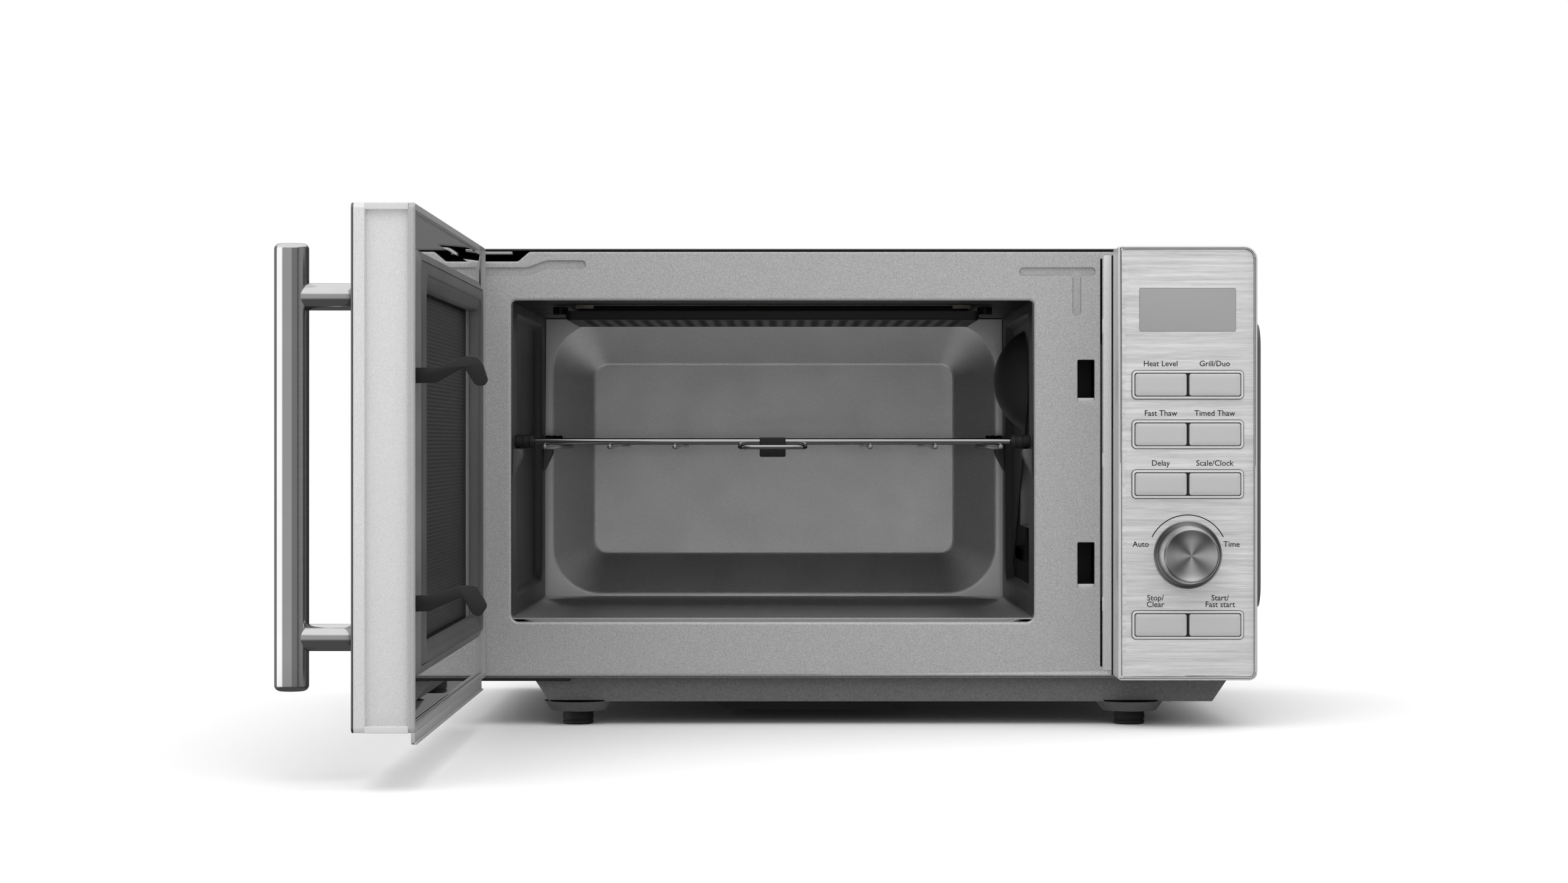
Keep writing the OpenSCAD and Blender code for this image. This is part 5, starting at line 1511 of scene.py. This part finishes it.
def dress_nodes(palette: Palette, nodes: dict[str, bpy.types.Object]) -> None:
    """Gives each CAD node its finish."""
    finishes = {
        "outer_case": palette.case, "base_pan": palette.pan, "base_cover": palette.black_steel,
        "rear_plate": palette.zinc, "grill_heater": palette.quartz, "waveguide": palette.zinc,
        "magnetron": palette.laminated, "stirrer": palette.zinc, "stirrer_motor": palette.zinc,
        "fan_motor": palette.laminated, "fan_blade": palette.ivory, "fan_duct": palette.black,
        "transformer": palette.laminated, "capacitor": palette.zinc, "diode": palette.black,
        "cavity_lamp": palette.ivory, "thermal_cutouts": palette.black, "interlock_bracket": palette.black,
        "interlock_switches": palette.black, "filter_board": palette.board, "control_board": palette.board,
        "encoder": palette.ivory, "case_screws": palette.zinc, "cord_gland": palette.black,
        "handle_screws": palette.zinc, "latch_spring": palette.zinc,
    }
    for name, item in nodes.items():
        material = finishes.get(name, palette.zinc)
        item.data.materials.clear()
        item.data.materials.append(material)


@dataclass(frozen=True)
class Studio:
    """White surroundings that reflections see as upright panels, each an angle in degrees and a level."""

    panels: tuple[tuple[float, float], ...] = (
        (-180, 0.2), (-110, 0.2), (-104, 1.25), (-60, 1.25), (-55, 0.38), (6, 0.38), (11, 0.2), (57, 0.2),
        (62, 0.07), (92, 0.07), (98, 0.01), (150, 0.01), (158, 0.15), (180, 0.15))
    horizon: float = 0.34
    zenith: float = 1.25
    overhead: float = 0.9
    underfoot: float = 0.08

    def build(self) -> bpy.types.World:
        """Makes the world."""
        world = bpy.data.worlds.new("studio")
        world.use_nodes = True
        tree = world.node_tree
        tree.nodes.clear()

        add = partial(add_node, tree)
        axes = add("SeparateXYZ", {0: add("TexCoord").outputs["Generated"]}).outputs
        ahead = add("Math", {0: axes["Y"], 1: -1.0}, operation="MULTIPLY").outputs[0]
        angle = add("Math", {0: axes["X"], 1: ahead}, operation="ARCTAN2").outputs[0]
        turn = add("MapRange", {"Value": angle, "From Min": -math.pi, "From Max": math.pi}).outputs["Result"]
        bands = add("ValToRGB", {"Fac": turn})
        stops = bands.color_ramp.elements
        stops[0].position, stops[1].position = 0.0, 1.0
        for degrees, level in self.panels[1:-1]:
            stops.new((degrees + 180) / 360)
        for stop, (degrees, level) in zip(stops, self.panels):
            stop.color = (level, level, level, 1)
        high = add("MapRange", {"Value": axes["Z"], "From Min": 0.3, "From Max": 0.5}).outputs["Result"]
        upper = add("MixRGB", {"Fac": high, "Color1": bands.outputs["Color"], "Color2": (*grey(self.overhead), 1)})
        low = add("MapRange", {"Value": axes["Z"], "From Min": -0.12, "From Max": -0.4}).outputs["Result"]
        seen = add("MixRGB", {"Fac": low, "Color1": upper.outputs["Color"], "Color2": (*grey(self.underfoot), 1)})
        rays = add("LightPath").outputs
        soft = add("MapRange", {"Value": axes["Z"], "From Min": 0.1, "From Max": 0.7, "To Min": self.horizon,
                                "To Max": self.zenith}).outputs["Result"]
        shine = add("MixRGB", {"Fac": rays["Is Glossy Ray"], "Color1": soft, "Color2": seen.outputs["Color"]})
        final = add("MixRGB", {"Fac": rays["Is Camera Ray"], "Color1": shine.outputs["Color"],
                               "Color2": (*grey(1.0), 1)})
        back = add("Background", {"Color": final.outputs["Color"]})
        add("OutputWorld", {"Surface": back.outputs[0]})
        return world


def set_stage() -> None:
    """Lays the floor and makes the world, the lights and the camera."""
    mesh = bpy.data.meshes.new("ground")
    bm = bmesh.new()
    bmesh.ops.create_grid(bm, x_segments=1, y_segments=1, size=30)
    bm.to_mesh(mesh)
    bm.free()
    ground = bpy.data.objects.new("ground", mesh)
    bpy.context.scene.collection.objects.link(ground)
    shader = Shader("ground_white")
    shader.set(Base_Color=(1, 1, 1, 1), Roughness=1.0, Specular_IOR_Level=0.0)
    mesh.materials.append(shader.material)
    ground.visible_glossy = False

    bpy.context.scene.world = Studio().build()
    bpy.context.scene.view_settings.view_transform = "Standard"

    for name, place, aim, size, power in (
            ("key", (-0.4, -1.9, 1.9), (0, 0, 0.15), 1.3, 13),
            ("front", (0.1, -3.0, 0.75), (0, 0, 0.15), 1.2, 7),
            ("side", (2.0, -1.6, 0.9), (0, -0.1, 0.15), 1.4, 4)):
        data = bpy.data.lights.new(name, "AREA")
        data.energy, data.size = power, size
        lamp = bpy.data.objects.new(name, data)
        lamp.location = place
        lamp.visible_glossy = False
        lamp.rotation_euler = (Vector(aim) - Vector(place)).to_track_quat("-Z", "Y").to_euler()
        bpy.context.scene.collection.objects.link(lamp)

    data = bpy.data.cameras.new("view")
    data.lens, data.sensor_width = 78.3, 36
    camera = bpy.data.objects.new("view", data)
    camera.location = (-0.043, -2.236, 0.174)
    camera.rotation_euler = (math.pi / 2, 0, 0)
    bpy.context.scene.collection.objects.link(camera)
    bpy.context.scene.camera = camera


def main() -> None:
    """Loads the frame and builds every assembly in order."""
    logging.basicConfig(level=logging.INFO, format="%(name)s %(message)s")
    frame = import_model()
    palette = Palette()
    sizes = Sizes.read()
    for assembly in (FrontFrame, Cavity, Rack, ControlPanel, Door, Case):
        LOG.info("building %s", assembly.__name__)
        assembly(palette, sizes).build()
    dress_nodes(palette, frame["nodes"])
    set_stage()


if __name__ == "__main__":
    main()
